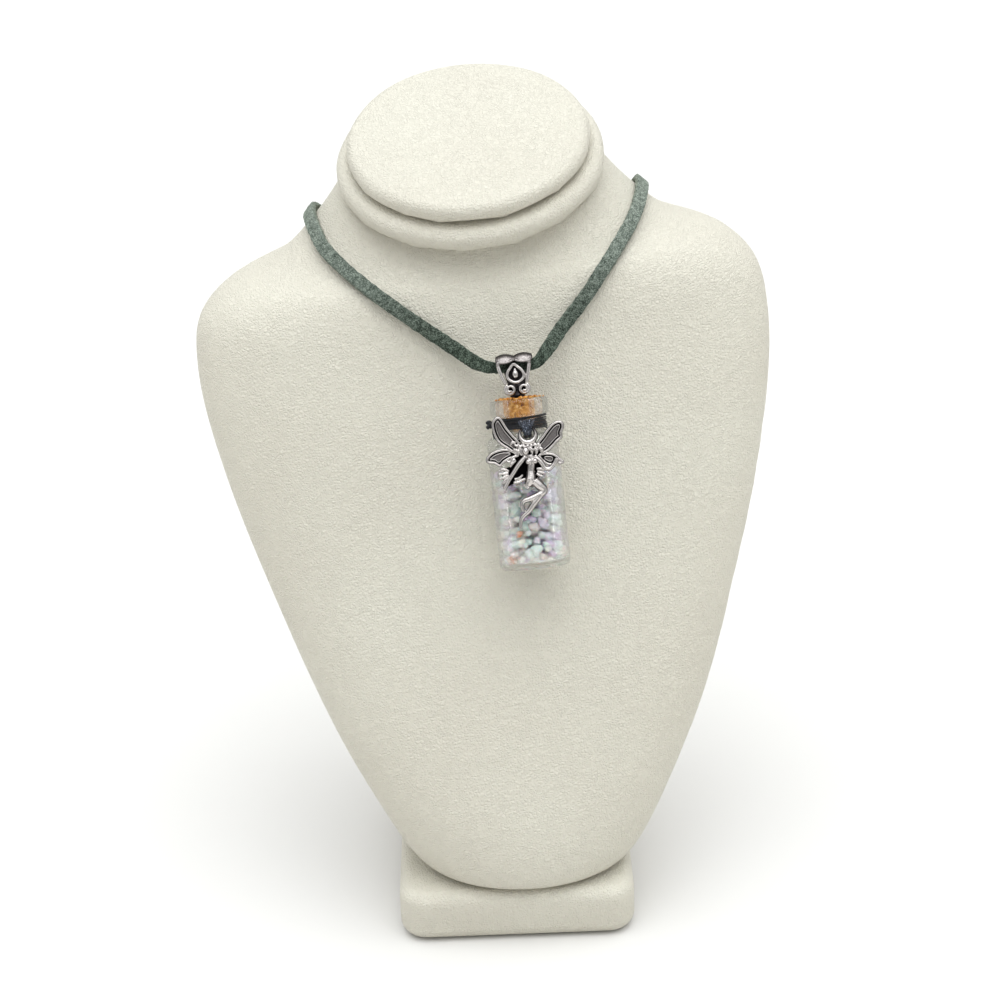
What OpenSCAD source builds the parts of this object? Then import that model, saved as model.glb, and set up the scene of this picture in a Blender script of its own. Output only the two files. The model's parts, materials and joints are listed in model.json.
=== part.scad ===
// A corked glass vial of crystal chips with a winged silver charm, hung on a suede lace
// round a plain neck bust. The origin is the middle of the foot's underside, +Z up, front at -Y.

/* [Bust] */
// Width across the shoulders
bust_w = 127; // [110:1:145]
// Depth from the front of the tip to the back of the neck
bust_d = 92; // [84:1:104]
// Height from the foot's top to the back of the neck's top
bust_h = 152; // [140:1:165]
// Sideways bend from the foot to the neck, in degrees
bust_bend = 4.5; // [0:0.5:6]
// Turn of the bust on its foot, in degrees
bust_turn = 3; // [0:0.5:6]
// Sideways place of the bust on its foot
bust_shift = 1.5; // [-2:0.5:3]
// Sideways place of the neck over the shoulders
neck_shift = 1.6; // [0:0.1:2]

/* [Neck top] */
// Width of the rolled rim
rim_d = 58.6; // [54:0.2:62]
// Thickness of the rolled rim
rim_thick = 5.4; // [4:0.2:7]
// Width of the padded disc
cap_d = 52.8; // [46:0.2:53]
// Thickness of the padded disc at its edge
cap_thick = 4.4; // [3:0.2:6]
// Height of the disc's crown above its edge
cap_crown = 1; // [0.4:0.2:2]

/* [Foot] */
// Width of the foot
foot_w = 52; // [46:1:60]
// Depth of the foot
foot_d = 70; // [62:1:78]
// Height of the foot
foot_h = 12; // [10:0.5:15]
// Radius of the foot's upright corners
foot_corner = 6; // [4:0.5:9]
// Radius of the foot's top and bottom edges
foot_round = 3; // [1:0.5:3.5]

/* [Vial] */
// Width of the vial's body
vial_d = 15; // [14:0.5:16.5]
// Height of the vial from its base to its mouth
vial_h = 35.5; // [33:0.5:38]
// Thickness of the glass wall
vial_wall = 0.6; // [0.6:0.1:1]
// Thickness of the glass base
vial_floor = 1.1; // [0.9:0.1:1.8]
// Height of the sloping shoulder
shoulder_h = 3.2; // [2.6:0.2:4]
// Outside width of the neck
neck_d = 9.4; // [9:0.1:9.8]
// Height of the neck between shoulder and lip
neck_h = 3; // [2.6:0.2:3.4]
// Width of the lip
lip_d = 12.3; // [11.9:0.1:12.8]
// Height of the lip
lip_h = 3.6; // [3:0.1:4]
// Inside width of the mouth
mouth_d = 6.9; // [6.6:0.1:7.2]

/* [Stopper] */
// Length of the cork in the mouth
cork_len = 6.2; // [6:0.2:8.4]
// How far the cork stands over the lip
cork_proud = 0.2; // [0.1:0.1:0.6]
// Narrowing of the cork from top to bottom
cork_taper = 0.3; // [0:0.1:0.5]

/* [Bail] */
// Width of the bail over its side bars
bail_w = 7.3; // [6.9:0.1:7.7]
// Width of the bail at its scrolls
bail_foot_w = 5.4; // [5:0.1:5.8]
// Width of the eye that the lace runs through
eye_d = 3.4; // [3.4:0.1:3.8]
// Thickness of the cast bail
bail_thick = 0.75; // [0.65:0.05:0.85]
// Height of the eye's centre above the cork
eye_h = 6.7; // [6.5:0.1:7]
// Thickness of the peg in the cork
peg_d = 1.2; // [1:0.1:1.5]
// Length of the peg in the cork
peg_len = 5; // [3:0.5:5.5]

/* [Charm] */
// Width over the wing tips
charm_w = 16.1; // [15:0.1:17]
// Height from wing tip to toe
charm_h = 23.2; // [22:0.1:24]
// Thickness of the charm's flat back
charm_thick = 0.7; // [0.5:0.1:1]
// Thickness of the raised rims and limbs
charm_wire = 0.75; // [0.6:0.05:0.9]

/* [Thread and chips] */
// Thickness of the waxed thread
thread_d = 0.55; // [0.45:0.05:0.65]
// Thickness of the wrapping round the neck
wrap_thick = 0.85; // [0.7:0.05:0.9]
// Turns of thread round the neck
thread_turns = 5; // [4:1:5]
// Grid that the chips lie in
chip_pitch = 2.5; // [2.4:0.05:3]
// Height that the chips fill
chip_fill = 19; // [12:0.5:20]

/* [Lace] */
// Width of the flat lace
lace_w = 3; // [2.6:0.1:3.2]
// Thickness of the flat lace
lace_thick = 1.5; // [1.2:0.1:1.6]
// Share of the lace's width left where the bail gathers it
lace_pinch = 0.8; // [0.7:0.02:0.84]
// Width of the barrel clasp
clasp_d = 5; // [4:0.2:6]
// Length of the barrel clasp
clasp_len = 14; // [12:0.5:16]

/* [Placing] */
// Height on the chest where the pendant hangs
hang_z = 122.3; // [116:0.1:126]
// Sideways place where the pendant hangs
hang_x = 3.7; // [2:0.1:5]
// Lean of the vial beyond the chest's own, in degrees
hang_lean = 1.5; // [0:0.1:3]
// Sideways tilt of the vial, in degrees
hang_tilt = 4.2; // [0:0.1:6]
// Gap between pieces that rest on each other
gap = 0.3; // [0.2:0.05:0.4]
// Gap between pieces that fit closely
fit = 0.1; // [0.05:0.01:0.15]

/* [Hidden] */

// Mesh steps: points round a section, sections between two rows of a table, sides of a wire
ring_points = 36;
row_steps = 3;
wire_sides = 8;

white = "#f3f1ea";
silver = "#b9b7b0";
suede = "#4d5652";
thread = "#23242a";

// Bust sections, from the tip up to the neck: front and back points, half width, fullness.
// Places across the depth are shares of bust_d, heights of bust_h and half widths of bust_w.
FRONT_Y = 0; FRONT_Z = 1; BACK_Y = 2; BACK_Z = 3; HALF_W = 4; FULL = 5;
bust_rows = [
    [-0.305, 0.000, -0.022, 0.000, 0.110, 2.0],
    [-0.370, 0.002,  0.022, 0.003, 0.169, 2.0],
    [-0.397, 0.024,  0.054, 0.024, 0.205, 2.1],
    [-0.380, 0.097,  0.076, 0.084, 0.252, 2.3],
    [-0.315, 0.209,  0.109, 0.195, 0.319, 2.4],
    [-0.223, 0.353,  0.174, 0.340, 0.386, 2.4],
    [-0.125, 0.511,  0.272, 0.498, 0.449, 2.3],
    [-0.038, 0.656,  0.391, 0.643, 0.492, 2.4],
    [ 0.016, 0.741,  0.467, 0.735, 0.500, 2.4],
    [ 0.043, 0.794,  0.522, 0.791, 0.484, 2.3],
    [ 0.065, 0.827,  0.565, 0.832, 0.429, 2.2],
    [ 0.084, 0.842,  0.587, 0.857, 0.350, 2.1],
    [ 0.096, 0.855,  0.603, 0.899, 0.302, 2.0],
    [ 0.105, 0.868,  0.618, 0.952, 0.256, 2.0],
    [ 0.110, 0.883,  0.614, 1.000, 0.224, 2.0]];

// The lace's route round the bust, from one side of the clasp to the other, and back
route = [
    [-7.05, 52, 22], [-10.5, 52, 22.5], [-15.5, 52, 26], [-20.5, 52, 37], [-26.5, 52, 68], [-31, 52, 105],
    [-34.5, 52, 132], [-36.5, 50.3, 139.6], [-39, 45.8, 143.6], [-40.2, 39.5, 146.2],
    [-39.9, 32, 146.8], [-38.4, 25, 145.6], [-35.9, 18.3, 143.4], [-30.4, 10.7, 140.3],
    [-24.6, 5.1, 137.2], [-18.6, 2.5, 133.3], [-12.5, 0.8, 129.2], [-8, -1.4, 126.6],
    [-4.2, -4.5, 124.9], [-0.6, -6.4, 124.5], [3.7, -6.7, 124.9], [8, -6.3, 125.2], [10.9, -3.3, 127.2],
    [13.7, 1.3, 129.5], [16.9, 3.4, 132.8], [20, 5.3, 136.2], [22.7, 7.5, 139.5], [25.3, 10.6, 142.2],
    [28, 15.6, 144.6], [30.5, 20.8, 146.9], [32.5, 27.3, 149.2], [33.7, 36, 150.3],
    [33.5, 43.8, 148.3], [32.7, 49.7, 143.6], [31.5, 52, 134], [29.5, 52, 105], [25.5, 52, 68],
    [20, 52, 37], [14, 52, 23.7], [7.05, 52, 22]];

base_z = foot_h + gap;
rows_end = len(bust_rows) - 1;
lip_z = vial_h - lip_h;
neck_z = lip_z - neck_h;
shoulder_z = neck_z - shoulder_h;
cork_top = vial_h + cork_proud;
hook_z = cork_top + eye_h;
wrap_out = neck_d / 2 + fit + wrap_thick;
loop_r = 1.45;
loop_at = [1.3, -(vial_d / 2 + gap + charm_thick / 2), neck_z - 0.9];

// Geometry helpers
function unit(v) = v / norm(v);
function spin(v, a) = [v.x * cos(a) - v.y * sin(a), v.x * sin(a) + v.y * cos(a)];
function arc(centre, r, from, to, n) =
    [for (i = [0:n]) centre + r * [cos(from + (to - from) * i / n), sin(from + (to - from) * i / n)]];

// A smooth curve through four neighbours, at share u between the middle two
function between(a, b, c, d, u) =
    0.5 * (2 * b + (c - a) * u + (2 * a - 5 * b + 4 * c - d) * u * u
           + (3 * b - a - 3 * c + d) * u * u * u);
function row_at(rows, t) =
    let (n = len(rows) - 1, i = min(floor(t), n - 1))
    between(rows[max(i - 1, 0)], rows[i], rows[i + 1], rows[min(i + 2, n)], t - i);
function smooth(rows, steps) =
    [for (i = [0:(len(rows) - 1) * steps]) row_at(rows, i / steps)];
function smooth_loop(rows, steps) =
    let (n = len(rows))
    [for (i = [0:n - 1], k = [0:steps - 1])
        between(rows[(i + n - 1) % n], rows[i], rows[(i + 1) % n], rows[(i + 2) % n], k / steps)];

// Quads round a stack of rings, with flat ends or joined into a loop
function stack_faces(rings, around, loop = false) = concat(
    [for (i = [0:rings - (loop ? 1 : 2)], j = [0:around - 1])
        let (a = i * around, b = ((i + 1) % rings) * around, k = (j + 1) % around)
        [a + j, a + k, b + k, b + j]],
    loop ? [] : [[for (j = [around - 1:-1:0]) j], [for (j = [0:around - 1]) (rings - 1) * around + j]]);

// A wire along a path: half its width across, half its height along the facing direction
module wire(path, facing, half_w, half_h, fat = [], loop = false, sides = wire_sides) {
    n = len(path);
    last = n - 1;
    points = [for (i = [0:last])
        let (back = loop ? path[(i + last) % n] : path[max(i - 1, 0)],
             ahead = loop ? path[(i + 1) % n] : path[min(i + 1, last)],
             along = unit(ahead - back),
             face = is_list(facing[0]) ? facing[i] : facing,
             side = unit(cross(along, face)),
             up = cross(side, along),
             swell = len(fat) ? fat[i] : 1)
        for (j = [0:sides - 1])
            let (a = 360 * (j + 0.5) / sides, flat = swell / cos(180 / sides))
            path[i] + side * half_w * flat * cos(a) + up * half_h * flat * sin(a)];
    polyhedron(points, stack_faces(n, sides, loop), convexity = 10);
}

// The bust's sections bend to one side as they rise, then turn and shift on the foot
function bust_place(p, mid_z) =
    let (rise = mid_z - base_z,
         a = bust_bend * rise / bust_h,
         slide = bust_bend * PI / 180 * rise * rise / (2 * bust_h),
         leant = [p.x * cos(a) - (p.z - mid_z) * sin(a) - slide, p.y,
                  p.x * sin(a) + (p.z - mid_z) * cos(a) + mid_z],
         turned = spin([leant.x, leant.y], bust_turn))
    [turned.x + bust_shift, turned.y, leant.z];

function rounded(v, power) = sign(v) * pow(abs(v), 2 / power);

function bust_section(t) =
    let (r = row_at(bust_rows, t),
         front = [r[FRONT_Y] * bust_d, base_z + r[FRONT_Z] * bust_h],
         back = [r[BACK_Y] * bust_d, base_z + r[BACK_Z] * bust_h],
         mid = (front + back) / 2,
         reach = (front - back) / 2)
    [for (j = [0:ring_points - 1])
        let (a = -360 * j / ring_points,
             out = mid + reach * rounded(cos(a), r[FULL]),
             across = r[HALF_W] * bust_w * rounded(sin(a), r[FULL]) + neck_shift * max(0, t - 9) / (rows_end - 9))
        bust_place([across, out.x, out.y], mid.y)];

bust_rings = [for (i = [0:rows_end * row_steps]) bust_section(i / row_steps)];

// The neck's flat top: its middle and its forward slope
neck_row = bust_rows[rows_end];
neck_mid_y = (neck_row[FRONT_Y] + neck_row[BACK_Y]) / 2 * bust_d;
neck_mid_z = base_z + (neck_row[FRONT_Z] + neck_row[BACK_Z]) / 2 * bust_h;
neck_slope = atan2((neck_row[BACK_Z] - neck_row[FRONT_Z]) * bust_h,
                   (neck_row[BACK_Y] - neck_row[FRONT_Y]) * bust_d);
neck_centre = bust_place([neck_shift, neck_mid_y, neck_mid_z], neck_mid_z);

// The chest's front line as height and depth pairs, and its lean where the pendant hangs
chest_line = [for (ring = bust_rings) [ring[0].z, ring[0].y]];
chest_y = lookup(hang_z, chest_line);
chest_lean = atan2(chest_y - lookup(hang_z - vial_h, chest_line), vial_h);

// How far the chest bulges out of a straight line behind the vial
chest_bulge = max([for (p = chest_line) p[0] > hang_z - vial_h && p[0] < hang_z
    ? (chest_y - (hang_z - p[0]) * tan(chest_lean) - p[1]) * cos(chest_lean) : 0]);

// The pendant's frame: the eye's centre stands off the chest by what lets the vial's shoulder rest on it
stand_off = gap + chest_bulge + vial_d / 2 * cos(hang_lean) - (hook_z - shoulder_z) * sin(hang_lean);
hang_point = [hang_x, chest_y - stand_off * cos(chest_lean), hang_z + stand_off * sin(chest_lean)];

module on_pendant() {
    translate(hang_point) rotate([-(chest_lean + hang_lean), -hang_tilt, 0])
        translate([0, 0, -hook_z]) children();
}

// The direction in which the bust's surface faces nearest to a point
function ring_normal(i, j) =
    let (n = ring_points, last = len(bust_rings) - 1)
    unit(cross(bust_rings[i][(j + 1) % n] - bust_rings[i][(j + n - 1) % n],
               bust_rings[min(i + 1, last)][j] - bust_rings[max(i - 1, 0)][j]));
function nearest(p, list, best = 0, i = 1) =
    i == len(list) ? best
    : nearest(p, list, norm(list[i] - p) < norm(list[best] - p) ? i : best, i + 1);
function facing_at(p) =
    let (own = [for (ring = bust_rings) nearest(p, ring)],
         closest = [for (i = [0:len(own) - 1]) bust_rings[i][own[i]]],
         i = nearest(p, closest))
    ring_normal(i, own[i]);

module bust_body() {
    color(white)
        polyhedron([for (ring = bust_rings) for (p = ring) p],
                   stack_faces(len(bust_rings), ring_points), convexity = 6);
}

module on_neck(rise) {
    translate(neck_centre) rotate([0, 0, bust_turn]) rotate([0, -bust_bend, 0])
        rotate([neck_slope, 0, 0]) translate([0, 0, rise]) children();
}

module neck_rim() {
    roll = rim_thick / 2;
    color(white) on_neck(gap) rotate_extrude($fn = 96) {
        translate([rim_d / 2 - roll, roll]) circle(roll, $fn = 48);
        square([rim_d / 2 - roll, rim_thick]);
    }
}

module neck_cap() {
    roll = cap_thick / 2;
    flat = cap_d / 2 - roll;
    crown_r = (flat * flat + cap_crown * cap_crown) / (2 * cap_crown);
    color(white) on_neck(rim_thick + 2 * gap) rotate_extrude($fn = 96) {
        translate([flat, roll]) circle(roll, $fn = 48);
        square([flat, cap_thick]);
        intersection() {
            translate([0, cap_thick + cap_crown - crown_r]) circle(crown_r, $fn = 360);
            square([flat, cap_thick + cap_crown]);
        }
    }
}

module rounded_square(w, d, r) {
    for (x = [-1, 1], y = [-1, 1])
        translate([x * (w / 2 - r), y * (d / 2 - r)]) circle(r, $fn = 48);
    square([w - 2 * r, d], center = true);
    square([w, d - 2 * r], center = true);
}

// A block rounded in all three directions
module foot() {
    color(white) translate([0, 0, foot_h / 2]) intersection() {
        linear_extrude(foot_h, center = true) rounded_square(foot_w, foot_d, foot_corner);
        rotate([90, 0, 0]) linear_extrude(foot_d, center = true)
            rounded_square(foot_w, foot_h, foot_round);
        rotate([90, 0, 90]) linear_extrude(foot_w, center = true)
            rounded_square(foot_d, foot_h, foot_round);
    }
}

module cord() {
    path = smooth(route, 2);
    near = lace_w * 1.5;
    pinched = [for (p = path)
        let (away = norm(p - hang_point)) lace_pinch + (1 - lace_pinch) * min(1, max(0, away / near - 1))];
    color(suede) wire(path, [for (p = path) facing_at(p)], lace_w / 2, lace_thick / 2, fat = pinched);
}

module clasp() {
    mouth = route[0];
    color(silver) translate([0, mouth.y, mouth.z]) rotate([0, 90, 0])
        cylinder(d = clasp_d, h = clasp_len, center = true, $fn = 48);
}

// Half of the vial's outline, outside and then inside, as width and height pairs
module vial_profile() {
    r = vial_d / 2;
    neck = neck_d / 2;
    mouth = mouth_d / 2;
    lip = lip_d / 2;
    base_r = 1.2;
    lip_r = 0.8;
    slope_r = (r - neck + shoulder_h) / 4;
    polygon(concat(
        [[0, 0]],
        arc([r - base_r, base_r], base_r, -90, 0, 5),
        arc([r - 2 * slope_r, shoulder_z], 2 * slope_r, 0, 60, 6),
        arc([neck + 0.6, neck_z + 0.2], 0.6, -110, -180, 3),
        [[neck, lip_z]],
        arc([lip - lip_r, lip_z + lip_r], lip_r, -90, 0, 4),
        arc([lip - lip_r, vial_h - lip_r], lip_r, 0, 90, 4),
        arc([mouth + 0.4, vial_h - 0.4], 0.4, 90, 180, 3),
        [[mouth, neck_z - 0.4]],
        arc([r - vial_wall - 2 * slope_r, shoulder_z - 0.6], 2 * slope_r, 55, 0, 5),
        arc([r - vial_wall - base_r, vial_floor + base_r], base_r, 0, -90, 4),
        [[0, vial_floor]]));
}

module bottle() {
    color("#dfeeee", 0.4) on_pendant() rotate_extrude($fn = 96) vial_profile();
}

module cork() {
    r = mouth_d / 2 - fit;
    bevel = 0.3;
    color("#c48a4e") on_pendant() difference() {
        rotate_extrude($fn = 64) polygon([
            [0, vial_h - cork_len], [r - cork_taper / 2, vial_h - cork_len],
            [r, vial_h], [r, cork_top - bevel], [r - bevel, cork_top], [0, cork_top]]);
        translate([0, 0, cork_top - peg_len - fit])
            cylinder(d = peg_d + 2 * fit, h = peg_len + 1, $fn = 24);
    }
}

// A rounded bar between two points of the bail or charm
module bar(a, b, ra, rb) {
    hull() {
        translate(a) sphere(ra, $fn = 7);
        translate(b) sphere(rb, $fn = 7);
    }
}

module bail() {
    front = -(eye_d + bail_thick) / 2;
    wire_r = bail_thick / 2;
    top_x = bail_w / 2 - wire_r;
    foot_x = bail_foot_w / 2 - wire_r;
    scroll_r = bail_foot_w / 4 - wire_r;
    scroll_z = cork_top + fit + scroll_r + wire_r;
    scroll_x = foot_x * 0.62;
    drop_z = hook_z - eye_h * 0.22;
    hump_w = bail_w / 2 - 0.3;
    scroll = [for (i = [0:12])
        let (a = 135 + 40 * i, r = scroll_r * (1 - 0.055 * i))
        [r * cos(a) - scroll_x, front, scroll_z + r * sin(a)]];
    drop = [for (i = [0:11]) let (a = 30 * i, narrow = pow((1 - cos(a)) / 2, 0.7))
        [bail_w * 0.29 * sin(a) * narrow, front, drop_z + eye_h * 0.26 * cos(a)]];
    color(silver) on_pendant() {
        // Two rolled humps over the eye, open at the front below their curled edge
        for (side = [-1, 1]) translate([side * (hump_w / 2 + 0.25), 0, hook_z]) rotate([0, 90, 0])
            difference() {
                rotate_extrude($fn = 32) translate([eye_d / 2 + wire_r, 0]) {
                    square([bail_thick, hump_w - bail_thick], center = true);
                    for (end = [-1, 1]) translate([0, end * (hump_w - bail_thick) / 2])
                        circle(wire_r, $fn = 12);
                }
                translate([eye_d, 0, 0]) cube([2 * eye_d, 2 * eye_d, bail_w], center = true);
                translate([0, -eye_d, 0]) cube([1.4, 2 * eye_d, bail_w], center = true);
            }
        for (side = [-1, 1]) {
            bar([side * top_x, front, hook_z + 0.9], [side * (foot_x + 0.3), front, drop_z - 0.3],
                wire_r * 1.15, wire_r * 1.1);
            bar([side * (foot_x + 0.3), front, drop_z - 0.3], [side * foot_x, front, scroll_z + scroll_r],
                wire_r * 1.1, wire_r);
            bar([side * top_x, front, hook_z + 0.9], [side * (top_x - 0.1), front / 2, hook_z + eye_d / 2],
                wire_r, wire_r);
            bar([side * (top_x - 0.3), front, hook_z + 0.8], [side * 0.6, front, hook_z + 0.9],
                wire_r, wire_r);
            bar([side * scroll_x, front + wire_r, scroll_z], [side * 0.8, 0, cork_top + 1], wire_r, wire_r * 1.4);
            mirror([side < 0 ? 0 : 1, 0, 0]) wire(scroll, [0, -1, 0], wire_r, wire_r, sides = 6);
        }
        wire(drop, [0, -1, 0], wire_r, wire_r, loop = true, sides = 6);
        bar([0, front, drop_z - 0.4], [0, front, drop_z + 0.4], 0.75, 0.35);
        for (side = [-1, 1])
            bar([0, front + wire_r / 2, drop_z - 0.4], [side * (foot_x + 0.2), front + wire_r / 2, drop_z - 0.6],
                wire_r * 0.5, wire_r * 0.5);
        // The back leaf, the seat on the cork and the peg
        hull() for (side = [-1, 1]) {
            translate([side * (top_x - 0.6), -front, hook_z]) sphere(wire_r, $fn = 8);
            translate([side * 1.3, 0.6, cork_top + 1.1]) sphere(wire_r * 1.3, $fn = 8);
        }
        translate([0, 0, cork_top + fit]) cylinder(r1 = 1.7, r2 = 1.4, h = 1.4, $fn = 16);
        translate([0, 0, cork_top - peg_len]) cylinder(d = peg_d, h = peg_len + 1, $fn = 12);
    }
}

module neck_wrap() {
    bottom = neck_z + 0.3 + fit;
    pitch = (lip_z - fit - thread_d - bottom) / (thread_turns - 1);
    color(thread) on_pendant() rotate_extrude($fn = 64) {
        for (i = [0:thread_turns - 1])
            translate([wrap_out - thread_d / 2, bottom + thread_d / 2 + i * pitch])
                circle(d = thread_d, $fn = 24);
        translate([neck_d / 2 + fit, bottom])
            square([wrap_thick - thread_d / 2, (thread_turns - 1) * pitch + thread_d]);
    }
}

module wrap_knot() {
    knot = [-wrap_out - fit - thread_d * 0.75, -1.2, neck_z + neck_h * 0.4];
    color(thread) on_pendant() {
        bar(knot, knot + [-0.2, -0.2, 0.6], thread_d * 0.7, thread_d * 0.7);
        for (tail = [[-0.5, -0.4, 1.9], [-0.6, -0.6, 0.4], [0, -0.9, -1.4]]) {
            bar(knot, knot + tail * 0.6 + [-0.2, 0, 0], thread_d * 0.6, thread_d * 0.55);
            bar(knot + tail * 0.6 + [-0.2, 0, 0], knot + tail, thread_d * 0.55, thread_d * 0.5);
        }
    }
}

// Chips in rings round the vial's axis and in layers, each an uneven lump in its own cell
module chips() {
    r_in = vial_d / 2 - vial_wall - fit;
    cell = chip_pitch / 2 - fit / 2;
    rise = cell * 1.65 + fit;
    layers = floor(chip_fill / rise);
    rings = floor((r_in - cell) / chip_pitch);
    color("#b9c4c0") on_pendant() for (layer = [0:layers - 1], ring = [0:rings]) {
        ring_r = r_in - cell - ring * chip_pitch;
        count = ring_r < chip_pitch / 2 ? 1 : floor(180 / asin(chip_pitch / 2 / ring_r));
        for (i = [0:count - 1]) {
            seed = 1000 * layer + 100 * ring + i;
            size = rands(0.72, 1, 12, seed);
            rotate([0, 0, 360 * i / count + 31 * layer + 17 * ring])
                translate([ring_r, 0, vial_floor + fit + cell * 0.8 + layer * rise])
                    rotate([0, 0, rands(0, 90, 1, seed + 7)[0]]) hull() polyhedron(
                        [for (k = [0:11])
                            let (up = k < 4 ? -0.8 : k < 8 ? 0.1 : 0.85, out = sqrt(1 - up * up),
                                 b = 90 * k + (k < 4 ? 0 : k < 8 ? 45 : 20))
                            cell * size[k] * [out * cos(b), out * sin(b), up]],
                        [[0, 1, 2], [3, 4, 5], [6, 7, 8], [9, 10, 11]]);
        }
    }
}

// The charm's outlines as shares of charm_w across and charm_h up, from the middle of its loop
wings = [
    [[-0.34, 0.18], [-0.30, 0.16], [-0.24, 0.07], [-0.17, -0.01], [-0.12, -0.07], [-0.15, -0.16],
     [-0.25, -0.10], [-0.34, -0.04], [-0.38, 0.04], [-0.39, 0.13]],
    [[0.46, 0.07], [0.42, 0.09], [0.35, 0.08], [0.28, 0.04], [0.19, -0.03], [0.11, -0.10],
     [0.18, -0.17], [0.29, -0.13], [0.37, -0.08], [0.43, -0.05], [0.43, -0.01], [0.46, 0.03]],
    [[-0.14, -0.17], [-0.25, -0.12], [-0.36, -0.12], [-0.46, -0.14], [-0.51, -0.18],
     [-0.49, -0.21], [-0.43, -0.22], [-0.37, -0.25], [-0.33, -0.22], [-0.25, -0.19]],
    [[0.12, -0.19], [0.23, -0.18], [0.32, -0.20], [0.38, -0.24], [0.42, -0.27],
     [0.37, -0.28], [0.33, -0.25], [0.29, -0.28], [0.23, -0.28], [0.17, -0.25]]];
body_plate = [[-0.11, -0.09], [0.13, -0.10], [0.19, -0.17], [0.14, -0.22], [0.19, -0.31],
              [0.17, -0.37], [0.09, -0.39], [0.04, -0.42], [-0.02, -0.46], [-0.10, -0.45],
              [-0.11, -0.40], [-0.23, -0.41], [-0.33, -0.45], [-0.39, -0.38], [-0.40, -0.34],
              [-0.35, -0.28], [-0.27, -0.26], [-0.23, -0.19], [-0.15, -0.16]];

// Limbs as rows of across, up and thickness: torso, left arm, right arm, near leg, far leg
limbs = [
    [[0.00, -0.19, 2.0], [-0.01, -0.31, 1.8], [-0.02, -0.41, 2.4], [-0.06, -0.45, 1.4]],
    [[-0.04, -0.19, 1.0], [-0.13, -0.24, 0.9], [-0.20, -0.30, 0.9], [-0.29, -0.39, 0.8], [-0.33, -0.45, 0.9]],
    [[0.06, -0.19, 1.0], [0.13, -0.25, 0.9], [0.21, -0.32, 0.9], [0.30, -0.28, 0.7], [0.33, -0.24, 0.9]],
    [[0.03, -0.40, 1.8], [0.10, -0.46, 1.7], [0.17, -0.51, 1.4], [-0.04, -0.56, 1.3], [-0.15, -0.60, 0.9],
     [-0.15, -0.67, 0.8]],
    [[0.08, -0.55, 1.3], [-0.07, -0.67, 1.2], [-0.19, -0.74, 0.9], [-0.20, -0.81, 0.6]]];

function on_charm(row, lift = 0) = [row[0] * charm_w, -lift, row[1] * charm_h];

module charm_plate(outline, thick) {
    rotate([90, 0, 0]) linear_extrude(thick, center = true)
        polygon([for (p = outline) [p[0] * charm_w, p[1] * charm_h]]);
}

module fairy_charm() {
    r = charm_wire / 2;
    lift = charm_thick / 2 + r / 2;
    color(silver) on_pendant() translate(loop_at) {
        for (i = [0:len(wings) - 1]) {
            outline = smooth_loop(wings[i], 2);
            charm_plate(outline, charm_thick * (1 - 0.05 * i));
            wire([for (p = outline) on_charm(p, r / 2)], [0, -1, 0], r, r + charm_thick / 4,
                 loop = true, sides = 6);
        }
        charm_plate(body_plate, charm_thick * 0.75);
        for (limb = limbs, i = [0:len(limb) - 2])
            bar(on_charm(limb[i], lift), on_charm(limb[i + 1], lift), r * limb[i][2], r * limb[i + 1][2]);
        // Chest, head, hair curls and beaded collar
        for (x = [-0.02, 0.07]) translate(on_charm([x, -0.24], lift + r)) sphere(1.5 * r, $fn = 8);
        bar(on_charm([-0.05, -0.15], lift), on_charm([-0.03, -0.13], lift), 1.8 * r, 1.8 * r);
        for (x = [0.05, 0.14]) translate(on_charm([x, -0.14], lift)) sphere(1.3 * r, $fn = 8);
        for (i = [0:5]) translate(on_charm([-0.1 + 0.045 * i, -0.1], lift)) sphere(r, $fn = 8);
        // The loop over the head that the thread passes through
        wire([for (i = [0:11]) loop_r * [sin(30 * i), 0, cos(30 * i)]], [0, -1, 0], r, r,
             loop = true, sides = 6);
        for (side = [-1, 1])
            bar(loop_r * [side * 0.8, 0, -0.6], on_charm([side * 0.1, -0.1]), r, 1.3 * r);
        // Gathered skirt at both sides
        for (fold = [[-0.37, -0.30, 0.9], [-0.33, -0.34, 0.9], [-0.36, -0.38, 0.7],
                     [0.13, -0.33, 0.8], [0.14, -0.36, 0.7]])
            bar(on_charm([fold[0] - 0.03, fold[1] - 0.01], r), on_charm([fold[0] + 0.04, fold[1] + 0.01], r),
                fold[2] * r, fold[2] * r);
        bar(on_charm([-0.23, -0.40]), on_charm([-0.10, -0.38]), r, r);
    }
}

// The thread that ties the charm's loop to the wrapping, thick where the strands cross
module charm_tie() {
    start = -(wrap_out + fit + thread_d / 2);
    out = loop_at.y;
    top = loop_at.z + loop_r;
    reach = charm_wire / 2 + thread_d / 2 + fit;
    path = smooth([[start, top + 1.2], [(start + out) / 2 - 0.3, top + 1.3], [out - 0.2, top + 1],
                   [out - reach, top + 0.2], [out - reach * 0.6, top - reach], [out + reach, top - reach],
                   [start, top - reach + 0.2]], 2);
    color(thread) on_pendant()
        wire([for (p = path) [loop_at.x, p.x, p.y]], [1, 0, 0], thread_d / 2, thread_d / 2,
             fat = [1, 1.8, 2.4, 2.6, 2.2, 1.4, 1, 1, 1, 1, 1, 1, 1]);
}

bust_body();
neck_rim();
neck_cap();
foot();
cord();
clasp();
bail();
cork();
bottle();
chips();
neck_wrap();
wrap_knot();
charm_tie();
fairy_charm();
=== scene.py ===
import json
import math
import random
import bpy
from mathutils import Matrix, Vector, noise
from mathutils.bvhtree import BVHTree


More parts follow.
